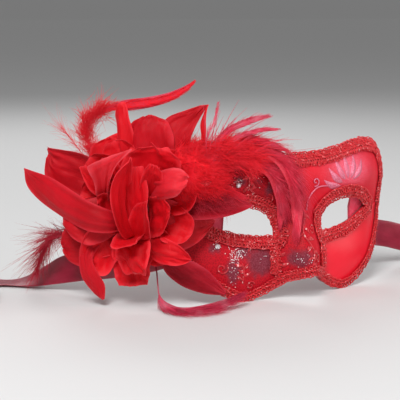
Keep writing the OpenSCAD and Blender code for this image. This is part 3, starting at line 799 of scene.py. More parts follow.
# Petals by the two long edges of each, from its root to its tip, as drawn over the photograph: pixels across
# and down, and the height over the flower's base in millimetres
PETAL_EDGES = {
    "outer_petal_1": ([(120, 214, 18), (106, 208, 26), (90, 201, 27), (70, 190, 21), (48.6, 176.5, 11),
        (24, 168, 6)],
        [(120, 230, 18), (104, 233, 25), (85, 230, 26), (66, 220, 19), (45, 204.5, 9), (28, 186, 6),
         (24, 169.5, 6)]),
    "outer_petal_2": ([(114, 180, 3), (99, 162, 4), (86, 154, 4), (71, 150.5, 3), (57, 148.5, 1),
        (48, 146.5, -1)],
        [(108, 208, 2), (90, 205, 1), (70, 198, 0), (55, 187, -1), (47, 174, -1), (46.5, 158, -1)]),
    "outer_petal_3": ([(112, 186, 4), (96, 172, 4), (89, 158, 4), (91, 148, 5), (98, 142.5, 5)],
        [(134, 180, 4), (134, 160, 4), (130, 145, 5), (124, 137, 6), (116, 133, 6)]),
    "outer_petal_4": ([(126, 172, 2), (118, 150, 3), (116.5, 128, 4), (115.5, 114, 4), (118.5, 103, 5)],
        [(140, 172, 3), (137, 150, 8), (132, 125, 9), (128, 110, 8), (124, 101.5, 6)]),
    "outer_petal_5": ([(134, 180, 5), (124, 157, 7), (124, 136, 8), (132, 121.5, 8), (142, 116.5, 7)],
        [(160, 178, 5), (172, 156, 7), (174, 136, 7), (167, 121, 7), (156, 116, 6)]),
    "outer_petal_6": ([(150, 180, 3), (152, 156, 5), (158, 134, 5), (167, 118, 5), (184, 110.7, 3),
        (200, 105.3, 1)],
        [(174, 186, 3), (190, 166, 4), (191.5, 152, 3), (191, 139, 2), (198.5, 121, 1), (208.6, 104.3, 0)]),
    "outer_petal_7": ([(148, 218, 6), (158, 233, 9), (170, 239.5, 12), (181, 245.5, 13), (188, 252.5, 12),
        (191, 258, 10)],
        [(144, 238, 6), (149, 255, 9), (160, 263, 11), (172, 265, 12), (183, 264, 11), (190.8, 259.6, 10)]),
    "outer_petal_8": ([(124, 238, 5), (115, 250, 8), (114, 264, 9), (116, 276, 10), (119, 285.5, 10)],
        [(150, 238, 5), (153, 252, 9), (152, 266, 11), (149.5, 277, 11), (147, 285.5, 10)]),
    "outer_petal_9": ([(96, 230, 8), (83, 239, 14), (79, 256, 17), (81.5, 276, 16), (92, 291.5, 13),
        (102, 300, 11)],
        [(108, 238, 8), (98, 248, 13), (93, 260, 16), (99, 274, 15), (105, 286, 12), (104.8, 299, 11)]),
    "outer_petal_10": ([(110, 212, 3), (88, 214, 3), (70, 222, 3), (62, 234, 3), (61, 243, 3)],
        [(108, 242, 3), (98, 257, 3), (85, 266, 3), (72, 263, 3), (63, 251, 3)]),
    "middle_petal_1": ([(122, 200, 8), (104, 196, 13), (86, 199, 15), (70, 207, 15), (63, 216, 15)],
        [(122, 228, 8), (106, 240, 15), (90, 245, 21), (74, 239, 21), (64, 227, 18)]),
    "middle_petal_2": ([(110, 202, 10), (93, 192, 15), (84, 179, 18), (79.5, 167, 20)],
        [(116, 196, 11), (104, 184, 16), (95, 174, 19), (86, 165.5, 21)]),
    "middle_petal_3": ([(128, 192, 9), (121, 174, 14), (125, 157, 17), (138, 147, 20)],
        [(162, 192, 9), (179, 178, 14), (181, 162, 17), (168, 149, 20)]),
    "middle_petal_4": ([(146, 186, 10), (156, 173, 18), (166, 169, 24), (176, 168.5, 27), (184, 171, 27),
        (188.5, 176, 25)],
        [(146, 202, 10), (156, 201, 17), (166, 199.5, 23), (175, 197, 26), (182, 191, 25), (187, 183, 23)]),
    "middle_petal_5": ([(124, 238, 12), (117, 246, 18), (114.5, 252.5, 22), (119, 262, 22), (127, 273, 20)],
        [(148, 236, 12), (151, 247, 18), (149, 258, 22), (148, 268, 22), (145.5, 276.5, 20)]),
    "middle_petal_6": ([(118, 222, 8), (104, 224, 18), (93, 226.5, 22), (84, 235, 22), (81, 246, 20),
        (82, 256, 16)],
        [(122, 242, 8), (117, 256, 12), (113, 267, 12), (106, 275, 12), (98, 273, 13), (90, 263, 14)]),
    "inner_petal_1": ([(104, 205, 12), (98, 193, 20), (93, 179, 27), (88.2, 165, 31)],
        [(112, 205, 13), (109, 188, 24), (114.5, 169, 31), (124, 157, 33), (133.2, 148.5, 34)]),
    "inner_petal_2": ([(126, 240, 22), (115, 226, 32), (109, 210, 37), (107.5, 195, 39), (112.5, 178, 39),
        (121, 166, 38), (131.5, 157, 37)],
        [(138, 234, 12), (132, 222, 15), (129, 206, 17), (129, 190, 19), (130, 178, 24), (131, 168, 31),
         (132, 159, 37)]),
    "inner_petal_3": ([(130, 238, 14), (130, 222, 19), (133, 210, 24), (140, 203, 29)],
        [(151, 238, 20), (150, 226, 33), (148.8, 212, 38), (146.5, 200, 41)]),
    "inner_petal_4": ([(122, 234, 14), (114, 240, 27), (111.5, 246.5, 34), (112.5, 249.8, 36)],
        [(146, 233, 14), (142, 238, 27), (139, 241, 34), (137.5, 242, 36)]),
    "inner_petal_5": ([(124, 208, 12), (111, 196, 19), (103, 192, 23), (97, 195, 25)],
        [(124, 230, 10), (113, 234, 16), (104, 230, 20), (98, 218, 23)]),
    "heart_petal_1": ([(128, 238, 13), (122, 216, 18), (122, 195, 20), (128, 168, 25)],
        [(146, 238, 14), (147, 215, 22), (148, 195, 24), (143, 166, 25)]),
    "heart_petal_2": ([(140, 200, 14), (140, 186, 22), (143, 172, 28), (149, 164, 30)],
        [(154, 202, 14), (161, 190, 20), (163, 177, 26), (158, 167, 29)]),
    "side_petal_1": ([(150, 196, 10), (165, 198, 10), (182, 203, 6), (201, 211.5, -2), (215, 220.5, -9)],
        [(146, 240, 8), (159, 250, 8), (178, 252, 4), (197.5, 243, -3), (214, 223.5, -9)]),
    "side_petal_2": ([(147, 197, 16), (155, 196, 20), (163, 198.5, 22), (170.5, 206, 22)],
        [(147, 234, 10), (154, 238, 12), (163, 233, 15), (169.5, 217, 19)]),
    "outer_flap": ([(193, 150, 2), (202, 139, 2), (200.5, 121, 2), (208, 104.6, 0.6)],
        [(203, 152, 3), (205.5, 140, 5), (205.4, 122, 4), (209, 104.8, 0.8)]),
    "low_petal": ([(158, 232, 2), (173, 256, -1), (190, 261, -3), (206, 268.5, -6), (218, 281, -8),
        (226.5, 293, -9)],
        [(146, 245, 2), (158, 262, -1), (169, 276, -3), (185, 288, -5), (205, 294, -7), (225, 295, -9)]),
}
# The height of each root on the core, and the bends: belly and crease as shares of half the width,
# how far the rims roll, and the waves of the cloth
# Each petal's material is either the plain organza or a copy of it painted lighter or darker, as painted
# light and shade.
PETAL_BENDS = {
    "outer_petal_1": dict(root=3.2, belly=0.15, crease=0.12, crumple=0.5, material=PAINTED_SHADE_PETAL),
    "outer_petal_2": dict(root=1.4, belly=-0.25, crease=0.1, roll=1.5, crumple=1.5, material=PAINTED_SHADE_PETAL),
    "outer_petal_3": dict(root=3.2, belly=0.2, crease=0.1, crumple=1.2),
    "outer_petal_4": dict(root=1.4, belly=0.2, crease=0.55, crumple=0.6),
    "outer_petal_5": dict(root=4.4, belly=0.25, roll=-1.0, crumple=1.8, material=PAINTED_SHADE_PETAL),
    "outer_petal_6": dict(root=1.4, belly=0.1, crease=0.15, crumple=1.6, material=PAINTED_SHADE_PETAL),
    "outer_petal_7": dict(root=3.6, belly=0.25, crease=0.1, roll=0.8, crumple=1.2),
    "outer_petal_8": dict(root=1.4, belly=0.15, crease=0.1, crumple=2.6, ruffle=1.2),
    "outer_petal_9": dict(root=4.4, belly=0.15, crease=0.3, crumple=0.6, material=PAINTED_SHADE_PETAL),
    "outer_petal_10": dict(root=1.4, belly=0.15, crumple=1.4, material=PAINTED_SHADE_PETAL),
    "middle_petal_1": dict(root=6.2, belly=0.2, crease=0.15, crumple=1.5, material=PAINTED_SHADE_PETAL),
    "middle_petal_2": dict(root=7.8, belly=-0.3, crease=0.1, roll=0.8, crumple=0.8),
    "middle_petal_3": dict(root=6.2, belly=-0.2, crumple=1.8),
    "middle_petal_4": dict(root=7.8, belly=0.35, roll=-1.5, crumple=1.2, material=PAINTED_LIGHT_PETAL),
    "middle_petal_5": dict(root=7.8, belly=0.1, crease=0.2, crumple=2.4, ruffle=1.0),
    "middle_petal_6": dict(root=6.2, belly=-0.5, roll=1.2, crumple=1.0),
    "inner_petal_1": dict(root=10.6, belly=-0.25, roll=1.4, crumple=1.0, material=PAINTED_LIGHT_PETAL),
    "inner_petal_2": dict(root=12, belly=0.1, roll=1.2, crumple=0.8),
    "inner_petal_3": dict(root=10.6, belly=-0.2, roll=0.8, crumple=0.8),
    "inner_petal_4": dict(root=11, belly=-0.2, roll=1.2, crumple=0.6),
    "inner_petal_5": dict(root=11, belly=-0.3, roll=1.0, crumple=1.0),
    "heart_petal_1": dict(root=12, belly=-0.3, crumple=1.0),
    "heart_petal_2": dict(root=12, belly=-0.3, roll=0.8, crumple=1.0),
    "side_petal_1": dict(root=5, belly=-0.2, crease=0.1, crumple=1.0, material=PAINTED_SHADE_PETAL),
    "side_petal_2": dict(root=9, belly=-0.2, crumple=1.0),
    "outer_flap": dict(root=1.4, belly=0.1, crumple=0.4),
    "low_petal": dict(root=1.4, belly=0.12, crease=0.15, crumple=0.8, material=PAINTED_DEEP_SHADE_PETAL),
}
# How a sewn petal swells, rolls, ruffles and crumples: where along it each is full, and the number of folds
SEWN_CELLS, SEWN_LOOK, SWELL_END, SWELL_TIP, SWELL_LEAST = (36, 22), 0.03, 0.87, 0.35, 0.35
ROLL_FROM, ROLL_GROWS, RUFFLE_WAVES, RUFFLE_APART, RUFFLE_GROWS = 0.7, 0.4, 12.0, 1.9, 0.3
SOFT_FOLDS, SOFT_GROWS, RIDGES, RIDGE_SHARE, RIDGE_GROWS = (3.4, 1.5), 0.25, (4.5, 2.2), 0.8, 0.2
FINE_FOLDS, FINE_SHARE, RAGGED, RAGGED_WAVES, GATHERS, GATHER_SHARE = (9, 4), 0.3, 0.05, 7, 9.5, 0.05


def sew_petal(node, edges, root, belly=0.0, crease=0.0, roll=0.0, ruffle=0.5, crumple=1.0, material=PETAL):
    """A petal hung between its two edges, from its foot on the core."""
    middle = (edges[0][0] + edges[1][0]) / 2
    turn = math.degrees(math.atan2(middle.y, middle.x))
    foot = Vector((*round_point(turn, PETAL_ROOT), root))
    across = (edges[1][0] - edges[0][0]).normalized() * ROOT_W / 2
    left = [at_flower(*(foot - across))] + [at_flower(*q) for q in edges[0]]
    right = [at_flower(*(foot + across))] + [at_flower(*q) for q in edges[1]]
    seed = seed_of(node)

    def put(u, v):
        a, b = along(left, u), along(right, u)
        half = (b - a).length / 2
        ahead, behind = min(1.0, u + SEWN_LOOK), max(0.0, u - SEWN_LOOK)
        way = (along(left, ahead) + along(right, ahead)) - (along(left, behind) + along(right, behind))
        out = (b - a).cross(way).normalized()
        if out.dot(OUT) < 0:
            out.negate()
        swell = math.sin(math.pi * min(1.0, u * 1.15) ** 0.8) if u < SWELL_END else SWELL_TIP
        h = half * (belly * (1 - v * v) + crease * (1 - abs(v)) ** 1.3) * mix(SWELL_LEAST, 1.0, swell)
        h += roll * max(0.0, (abs(v) - ROLL_FROM) / (1 - ROLL_FROM)) ** 2 * ease(u / ROLL_GROWS)
        apart = RUFFLE_APART if v > 0 else 0.0
        h += ruffle * v * v * math.sin(RUFFLE_WAVES * u + seed + apart) * ease(u / RUFFLE_GROWS)
        h += crumple * ease(u / SOFT_GROWS) * folds(u, v, SOFT_FOLDS, seed)
        ridge = 1 - abs(folds(u, v, RIDGES, seed + 3) * 2)
        h += RIDGE_SHARE * crumple * ease(u / RIDGE_GROWS) * (ridge - 0.5)
        h += FINE_SHARE * crumple * folds(u, v, FINE_FOLDS, seed + 7)
        h += GATHER_SHARE * half * (1 - u) * math.cos(GATHERS * v + seed)
        ragged = 1 + RAGGED * wander(u * RAGGED_WAVES, math.copysign(1, v), seed) * abs(v) ** 3
        return a.lerp(b, (v * ragged + 1) / 2) + out * h

    keep_petal(node, SEWN_CELLS, put, material)


for node, edges in PETAL_EDGES.items():
    sew_petal(node, [[seen_at(*q) for q in edge] for edge in edges], **PETAL_BENDS[node])

# Petals by a bent middle line: the ring of short gathered ones that backs the flower, and the one at the eye
GATHERED_CELLS, GATHERED_LOOK, SHOULDER, SECTION_STEPS, TIP_HALF = (32, 20), 0.02, 0.8, 8, 0.25
CURL, CURL_GROWS, DRAWN_IN, DRAWN_END, PLEAT, FRILLS, FRILL_APART = 0.5, 0.5, 1.6, 0.25, 0.09, 13.0, 1.7
GATHERED_FOLDS, GATHERED_FINE, GATHERED_FINE_SHARE = (5, 1.6), (14, 5), 0.22


def petal_half_width(s, tip):
    """Half the width of a petal, as a share of its fullest, with a tip from blunt (0.4) to pointed (1.1)."""
    fullest = SHOULDER / (SHOULDER + tip)
    most = fullest ** SHOULDER * (1 - fullest) ** tip
    return (max(0.0, s) ** SHOULDER * max(0.0, 1 - s) ** tip) / most


def cloth_section(v, fold, cup, curl):
    """Across a petal, how far out and how high a point lies, as shares of half its width."""
    x = y = 0.0
    for k in range(SECTION_STEPS):
        q = (k + 0.5) / SECTION_STEPS * abs(v)
        slope = fold * math.tanh(q / 0.12) + cup * q + curl * (max(0.0, q - 0.5) / 0.5) ** 1.5
        x, y = x + math.cos(slope), y + math.sin(slope)
    return math.copysign(x * abs(v) / SECTION_STEPS, v), y * abs(v) / SECTION_STEPS


def gather_petal(node, turn, root, reach, rise, width, bulge, roll, fold=0.18, cup=0.4, ruffle=0.12,
                 crumple=1.3, tip=0.85, material=PETAL):
    """A petal along a bent line from its root on the core to a tip at the given reach and rise."""
    p0 = at_flower(*round_point(turn, PETAL_ROOT), root)
    p2 = at_flower(*round_point(turn, reach), rise)
    p1 = (p0 + p2) / 2 + 2 * bulge * OUT
    seed = seed_of(node)

    def spine(s):
        return (1 - s) ** 2 * p0 + 2 * s * (1 - s) * p1 + s * s * p2

    def put(u, v):
        way = (spine(min(1.0, u + GATHERED_LOOK)) - spine(max(0.0, u - GATHERED_LOOK))).normalized()
        side0 = way.cross(OUT).normalized()
        up0 = side0.cross(way)
        r = math.radians(roll * u)
        side, up = math.cos(r) * side0 + math.sin(r) * up0, math.cos(r) * up0 - math.sin(r) * side0
        half = max(width / 2 * petal_half_width(u, tip), ROOT_W / 2 * (1 - u) ** 2, TIP_HALF)
        gather = DRAWN_IN * max(0.0, 1 - u / DRAWN_END)
        x, y = cloth_section(v, fold, cup + gather, CURL * ease(u / CURL_GROWS))
        apart = FRILL_APART if v > 0 else 0.0
        wave = ruffle * v * v * math.sin(FRILLS * u + seed + apart)
        wave += PLEAT * (1 - u) ** 0.7 * math.cos(GATHERS * v + seed + 2.0 * wander(u * 2.5, seed, 0))
        rough = crumple * math.sin(math.pi * u) * folds(u, v, GATHERED_FOLDS, seed)
        fine = GATHERED_FINE_SHARE * crumple * folds(u, v, GATHERED_FINE, seed + 7)
        return spine(u) + side * (x * half) + up * ((y + wave) * half + rough + fine)

    keep_petal(node, GATHERED_CELLS, put, material)


# Turn, reach and rise of each backing petal
BACKING = [(15, 34, 6), (50, 38, 7), (80, 36, 9), (112, 38, 9), (138, 38, 10), (172, 34, 10), (195, 40, 8),
           (225, 38, 6), (262, 36, 6), (295, 36, 6), (335, 34, 6)]
for k, (turn, reach, rise) in enumerate(BACKING, 1):
    gather_petal(f"backing_petal_{k}", turn, 2.4, reach, rise, width=24, bulge=2, roll=8 if k % 2 else -8,
                 cup=0.3, tip=0.5, crumple=1.8, ruffle=0.2)
# The eye petal wears the organza painted darkest, as painted shade.
gather_petal("eye_petal", 0, 1.4, 59, -15, width=18, bulge=7, roll=20, fold=0.2, material=PAINTED_DEEP_SHADE_PETAL)

# Feathers, from the wound binding or from the felt disc
BINDING = (-0.734, 0.805)
FLOOR_CLEAR, SHAFT_STEPS, SHAFT_TIP, SHAFT_LOOK, LAST_BARB = 0.5, 24, 0.7, 0.01, 0.995
VANE_GROWS, VANE_BEFORE, VANE_CUT, LEAST_LEAN, SOFT_BEND = 0.16, 0.1, 0.8, 0.4, 0.6
DOWNY, DOWNY_LONG, BARB_SIZES, BARB_SPREAD, TIP_FROM = 0.35, 1.25, (0.78, 1.12), 9, 0.7
WEB_CELLS, WEB_T, WEB_ROUGH, WEB_LEAST, WEB_RIPPLES = (40, 6), 0.25, 0.12, 0.15, (30, 2)
STRAND_STEPS = (0, 0.25, 0.5, 0.75, 1)
BARB_TAPER, FLUFF_TAPER = (1.0, 0.95, 0.8, 0.55, 0.2), (1.0, 1.0, 0.85, 0.6, 0.2)


def over_floor(p):
    p.z = max(p.z, FLOOR_CLEAR)
    return p


def strand(root, way, bend, size, steps=STRAND_STEPS):
    """Points of one strand, which leaves its root along a way and bends."""
    return [over_floor(root + size * (q * way + q * q * bend)) for q in steps]


def spread(rng):
    return Vector((rng.gauss(0, 1), rng.gauss(0, 1), rng.gauss(0, 1)))


def any_way(rng, lowest, highest):
    return Vector((rng.uniform(-1, 1), rng.uniform(-1, 1), rng.uniform(lowest, highest)))


def feather_frame(line, outs, s):
    """The point on a feather's shaft, the way it runs, and the way its face looks."""
    p = along(line, s)
    t = (along(line, min(1.0, s + SHAFT_LOOK)) - along(line, max(0.0, s - SHAFT_LOOK))).normalized()
    o = along(outs, s).normalized()
    o = (o - t * o.dot(t)).normalized()
    return p, t, o


def vane_profile(s, start, blunt):
    """The width of a feather along its shaft, as a share of its fullest."""
    grow = ease((s - start) / VANE_GROWS)
    return grow * (1 - max(0.0, (s - blunt) / (1 - blunt)) ** 2 * VANE_CUT)


def add_feather(node, line, outs, width, count, angle, curl=0.4, lift=0.15, fluff=0.0, start=0.08, blunt=0.7,
                long=1.0, tip=1.0, quill=2.6, down_to=0.0, barb_r=0.16, finish=DOWN,
                web=0.0, web_from=0.0, web_finish=WEB):
    """A feather: its shaft, its barbs, which lean by one angle at the root and by another at the tip,
    and a closed web of the given share of the width."""
    rng = random.Random(node)
    steps = [k / SHAFT_STEPS for k in range(SHAFT_STEPS + 1)]
    lines = [([feather_frame(line, outs, s)[0] for s in steps], [mix(quill, SHAFT_TIP, s) for s in steps])]
    for i in range(count):
        s = start + (LAST_BARB - start) * (i + rng.random()) / count
        p, t, o = feather_frame(line, outs, s)
        downy = s < down_to
        soft = max(fluff, DOWNY if downy else 0.0)
        w = t.cross(o).normalized() * (1 if i % 2 else -1)
        w = Matrix.Rotation(rng.uniform(-1, 1) * soft * math.pi, 3, t) @ w
        astray = rng.uniform(-BARB_SPREAD, BARB_SPREAD) * (1 + 2 * soft)
        lean = math.radians(mix(angle[0], angle[1], s) + astray)
        size = width / 2 / max(LEAST_LEAN, math.sin(lean)) * vane_profile(s, start - VANE_BEFORE, blunt)
        size *= rng.uniform(*BARB_SIZES) * long * (DOWNY_LONG if downy else 1.0)
        size *= mix(1.0, tip, ease((s - TIP_FROM) / (1 - TIP_FROM)))
        bend = (t * curl - w * curl * 0.5) + o * rng.uniform(-lift, lift)
        bend = bend + soft * SOFT_BEND * any_way(rng, -1.2, 0.8)
        lines.append((strand(p, math.cos(lean) * t + math.sin(lean) * w, bend, size), BARB_TAPER))
    keep(strands(node + "_barbs", lines, barb_r, finish), "feather", node)
    if not web:
        return

    def put(u, v):
        s = mix(max(start, web_from), 1.0, u)
        p, t, o = feather_frame(line, outs, s)
        half = max(WEB_LEAST, width / 2 * web * vane_profile(s, max(start - VANE_BEFORE, web_from), blunt))
        rough = WEB_ROUGH * folds(u, v, WEB_RIPPLES, len(node))
        return over_floor(p + t.cross(o) * v * half + o * (rough - WEB_ROUGH * abs(v) * half))

    keep(cloth_grid(node + "_web", WEB_CELLS, put, web_finish, WEB_T), "feather")


def face_feather(root, points):
    """The line of a feather from the binding over the face, with the way out at each point."""
    x, z = BINDING[0] * HALF_W, BINDING[1] * MASK_H
    line = [on_mask(x, z, COVER_T + root)] + [on_mask(*p) for p in points]
    outs = [face_out(x, z)] + [face_out(x, min(z, MASK_H)) for x, z, _ in points]
    return line, outs


def flower_feather(turn, points):
    """The line of a feather from the rim of the felt disc, with the way out at each point."""
    line = [at_flower(*round_point(turn, BASE_R), -1)] + [at_flower(*p) for p in points]
    return line, [OUT] * len(line)


# Height in the binding, places on the face with heights, width and number of barbs
PLUMES = [(11, [(-47, 78, 13), (-30, 82, 12), (-17, 78, 10), (-9, 68, 8), (-4, 54, 6), (-4, 44, 5.2),
                (-4.3, 37, 4.6)], 15, 760),
          (7, [(-46, 76, 8.5), (-32, 77.5, 8), (-21.5, 72, 7), (-15, 61, 5.5), (-12.5, 51, 5),
               (-12, 42, 4.5)], 13, 600),
          (15, [(-46, 83, 16), (-30, 85, 15), (-11, 80, 12)], 9, 360),
          (3.5, [(-52, 68, 5.5), (-47, 66, 6.5), (-42, 64, 6)], 11, 300)]
CRESTS = [(18.5, [(-55, 84, 21), (-49, 93, 20), (-44, 101, 18)], 4, 60),
          (19, [(-48, 85, 23), (-35, 91, 22), (-22, 94, 19)], 7, 110),
          (17, [(-45, 83, 20), (-30, 88, 19), (-17, 89, 17)], 5, 90)]
SHORT_PLUME = dict(down_to=0.9, web_from=0.5, long=0.6)
for k, (root, points, width, count) in enumerate(PLUMES, 1):
    add_feather(f"brow_plume_{k}", *face_feather(root, points), width, count, (46, 12), 0.5, 0.16, blunt=0.5,
                tip=0.4, barb_r=0.13, finish=PLUME_DOWN, web=0.62,
                **(SHORT_PLUME if k == len(PLUMES) else dict(down_to=0.3)))
for k, (root, points, width, count) in enumerate(CRESTS, 1):
    add_feather(f"crest_feather_{k}", *face_feather(root, points), width, count, (26, 10), 0.2, 0.2, long=1.1,
                finish=CREST_DOWN, web=0.0 if k == 1 else 0.55, web_finish=CREST_WEB)
ARCH = [(-27, 25, -4), (-36, 34, -5), (-36, 44, -4), (-26, 51, -3), (-13, 54, -2), (1, 56, -1), (13, 59, 0),
        (22, 63, 1), (28, 67, 2)]
add_feather("arch_feather", *flower_feather(136, ARCH), 8, 640, (50, 16), lift=0.1, start=0.06, blunt=0.55,
            down_to=0.52, barb_r=0.13, web=0.8, web_from=0.42, web_finish=CREST_WEB)
LOW_TUFT = [(-36, -15, -4), (-48, -20, -6), (-57, -22, -8), (-63, -29, -9), (-70, -44, -11)]
HIGH_TUFT = [(-30, 15.5, -7), (-41, 25.5, -10.5), (-48.5, 34, -11.5), (-54, 39.5, -11.5)]
add_feather("tuft_1", *flower_feather(-158, LOW_TUFT), 13, 900, (60, 25), 0.2, 0.4, 0.7, long=1.35,
            barb_r=0.09, finish=DARK_DOWN)
add_feather("tuft_2", *flower_feather(155, HIGH_TUFT), 10, 130, (60, 25), 0.2, 0.4, 0.7, long=1.5,
            barb_r=0.06)
# The drooping feather: its places in the mask's frame, and the way out at each
DROOP_TURN = -78
DROOP = [(-80, -40, 20), (-83, -50, 5), (-82, -62, 1.6), (-75, -70, 1.6), (-65, -72, 2.3), (-56, -72, 3.6),
         (-46, -71, 5.6)]
DROOP_OUTS = [OUT, OUT, (-0.5, -0.5, 0.7), (-0.3, -0.6, 0.8)] + [(0, -0.6, 0.8)] * 4
droop = flower_feather(DROOP_TURN, [])[0] + DROOP
add_feather("floor_feather", droop, DROOP_OUTS, 12, 700, (32, 8), lift=0.25, start=0.26, quill=6, barb_r=0.11,
            finish=FLOOR_DOWN, web=0.5, web_from=0.22, web_finish=FLOOR_WEB)

# Loose down
FLUFF_SCATTER, FLUFF_ASTRAY, FLUFF_BEND, FLUFF_SIZES = 0.5, 0.55, 0.45, (0.55, 1.15)
DOWN_AT, DOWN_SPAN, DOWN_H, DOWN_SUNK, DOWN_UNEVEN = (-61, 74.5), (14.5, 13.5), 25, 1.0, 0.3
HEAP_CELLS, HEAP_T, HEAP_LEAST, HEAP_ROUGH = (20, 40), 0.5, 0.4, 0.8
DOWN_COUNT, DOWN_R, DOWN_SIZES, DOWN_TOP, DOWN_TOP_LONG = 2300, 0.1, (3.5, 8.5), 8, 1.2
DOWN_STEPS, DOWN_TAPER, DOWN_ASTRAY, DOWN_RISE = (0, 0.33, 0.67, 1), (1.0, 0.9, 0.65, 0.2), 0.45, (0.1, 0.9)


def add_fluff(name, tufts, reach, length, count, finish, radius):
    """Loose down in tufts, each with a middle and a way."""
    rng = random.Random(name)
    lines = []
    for middle, way in tufts:
        for _ in range(count):
            p = middle + spread(rng) * reach * FLUFF_SCATTER
            d = (way + spread(rng) * FLUFF_ASTRAY).normalized()
            bend = any_way(rng, -1.2, 0.6) * FLUFF_BEND
            lines.append((strand(p, d, bend, length * rng.uniform(*FLUFF_SIZES)), FLUFF_TAPER))
    keep(strands(name, lines, radius, finish), "feather")


def face_way(x, z, dx, dz):
    """The way along the face, from a place to one beside it."""
    return (on_mask(x + dx, z + dz, 4) - on_mask(x, z, 4)).normalized()


def in_heap(r, a):
    """A place in the heap of down, by its share of the reach and its turn."""
    return DOWN_AT[0] + DOWN_SPAN[0] * r * math.cos(a), DOWN_AT[1] + DOWN_SPAN[1] * r * math.sin(a)


def down_height(x, z):
    """How high the heap of down stands off the face."""
    q = math.hypot((x - DOWN_AT[0]) / DOWN_SPAN[0], (z - DOWN_AT[1]) / DOWN_SPAN[1])
    return DOWN_H * max(0.0, 1 - q * q) ** 0.7 * (1 + DOWN_UNEVEN * wander(x * 0.16, z * 0.16, 0)) - DOWN_SUNK


def put_heap(u, v):
    x, z = in_heap(math.sqrt(u), math.pi * v)
    h = max(HEAP_LEAST, down_height(x, z)) + HEAP_ROUGH * wander(x * 0.5, z * 0.5, 2.5)
    return on_mask(x, z, COVER_T + h)


keep(cloth_grid("brow_down_heap", HEAP_CELLS, put_heap, DOWN, HEAP_T), "feather")
rng = random.Random(23)
for part in (1, 2):
    lines = []
    for _ in range(DOWN_COUNT):
        x, z = in_heap(math.sqrt(rng.random()), rng.uniform(-math.pi, math.pi))
        p = on_mask(x, z, COVER_T + max(0.0, down_height(x, z)) - 0.5)
        flow = face_way(x, z, 1, 0.25 * (z - DOWN_AT[1]) / 8 + 0.1)
        d = (flow + face_out(x, z) * rng.uniform(*DOWN_RISE) + spread(rng) * DOWN_ASTRAY).normalized()
        bend = any_way(rng, -1.0, 0.5) * FLUFF_BEND
        size = rng.uniform(*DOWN_SIZES) * (DOWN_TOP_LONG if z > DOWN_AT[1] + DOWN_TOP else 1.0)
        lines.append((strand(p, d, bend, size, DOWN_STEPS), DOWN_TAPER))
    keep(strands(f"brow_down_{part}", lines, DOWN_R, DOWN), "feather")
ARCH_DOWN = [(-22, 18, -3), (-30, 27, -4), (-36, 36, -5), (-35, 44, -4), (-29, 50, -3), (-20, 53, -2)]
arch_down = [at_flower(*q) for q in ARCH_DOWN]
add_fluff("arch_down", [(p, (q - p).normalized() * 1.3 - 0.5 * ACROSS + 0.35 * UP)
                        for p, q in zip(arch_down, arch_down[1:])], 4, 10, 260, DOWN, 0.08)
ROOT_DOWN = [(-54, 80, 15), (-49, 82, 16), (-48, 77.5, 16), (-43, 81.5, 15.5), (-42, 77, 15), (-37, 80, 14.5),
             (-36, 75, 13), (-32, 79, 14), (-58, 79.5, 21), (-54, 80.5, 22), (-49.5, 81, 22)]
add_fluff("plume_root_down", [(on_mask(x, z, h), face_way(x, z, 1, 0.5 * (z - 78) / 5 - 0.1) * 1.4)
                              for x, z, h in ROOT_DOWN], 5, 10, 190, DOWN, 0.08)
EYE_FRINGE = [(22, 8, 4), (28, 9, 2), (34, 9, 1), (40, 8, -1), (26, 3, 3), (32, 3, 1), (38, 3, -1),
              (45, 5, -4)]
add_fluff("eye_fringe", [(at_flower(*q), 1.3 * ACROSS - 0.7 * UP + 0.1 * OUT) for q in EYE_FRINGE],
          5, 9, 75, DARK_DOWN, 0.07)

# Thin wisps of the crest, each with its turn, its length and its height over the face
WISPS = [(98, 30, 21), (90, 27, 20), (80, 33, 21), (72, 30, 19), (62, 36, 21), (55, 34, 19), (46, 40, 20),
         (40, 38, 18), (33, 44, 19), (27, 46, 17), (20, 50, 17), (14, 50, 15), (8, 52, 13), (50, 28, 22),
         (68, 24, 22), (36, 34, 21)]
WISP_AT, WISP_SCATTER, WISP_FORWARD, WISP_SAG, WISP_R = (-56, 76), 3, 3, 5, 0.26
WISP_TAPER = (1, 0.95, 0.9, 0.8, 0.6, 0.4, 0.15)
rng = random.Random(11)
wisps = []
for turn, length, h in WISPS:
    x, z = [at + rng.uniform(-WISP_SCATTER, WISP_SCATTER) for at in WISP_AT]
    root = on_mask(x, z, h)
    along_x, along_z = round_point(turn, length)
    sag = WISP_SAG * along_x / length
    points = []
    for k in range(len(WISP_TAPER)):
        q = k / (len(WISP_TAPER) - 1)
        points.append(root + Vector((along_x * q, -WISP_FORWARD * q, along_z * q - sag * q * q)))
    wisps.append((points, WISP_TAPER))
keep(strands("crest_wisps", wisps, WISP_R, CREST_WEB), "feather")

# Lace work, stones and glitter
LINE_PARTS, LINE_STEP, LINE_H, LINE_R, LINE_SIDES = 6, 0.8, COVER_T + 0.3, 0.42, 1
LEAF_CELLS, LEAF_T, LEAF_RIDGE, FAN_H, LACE_LEAF_H = (10, 4), 0.25, 0.45, COVER_T + 0.05, COVER_T + 0.2
SCROLL_POINTS, SCROLL_LEAST, SCROLL_IN = 14, 8, 0.8


def lay_lines(name, paths, material):
    """Cords laid on the face along smooth lines."""
    lines = []
    for path in paths:
        points = [on_mask(p.x, p.y, LINE_H) for p in resample(dense_curve(path, LINE_PARTS), LINE_STEP)]
        lines.append((points, [1.0] * len(points)))
    keep(strands(name, lines, LINE_R, material, LINE_SIDES), "lace")


def scroll(mx, mz, r, turns, start, way=1):
    """Places of a spiral on the face, from its outer end in."""
    n = max(SCROLL_LEAST, int(SCROLL_POINTS * turns))
    points = []
    for k in range(n + 1):
        x, z = round_point(start + way * 360 * turns * k / n, r * (1 - SCROLL_IN * k / n))
        points.append((mx + x, mz + z))
    return points


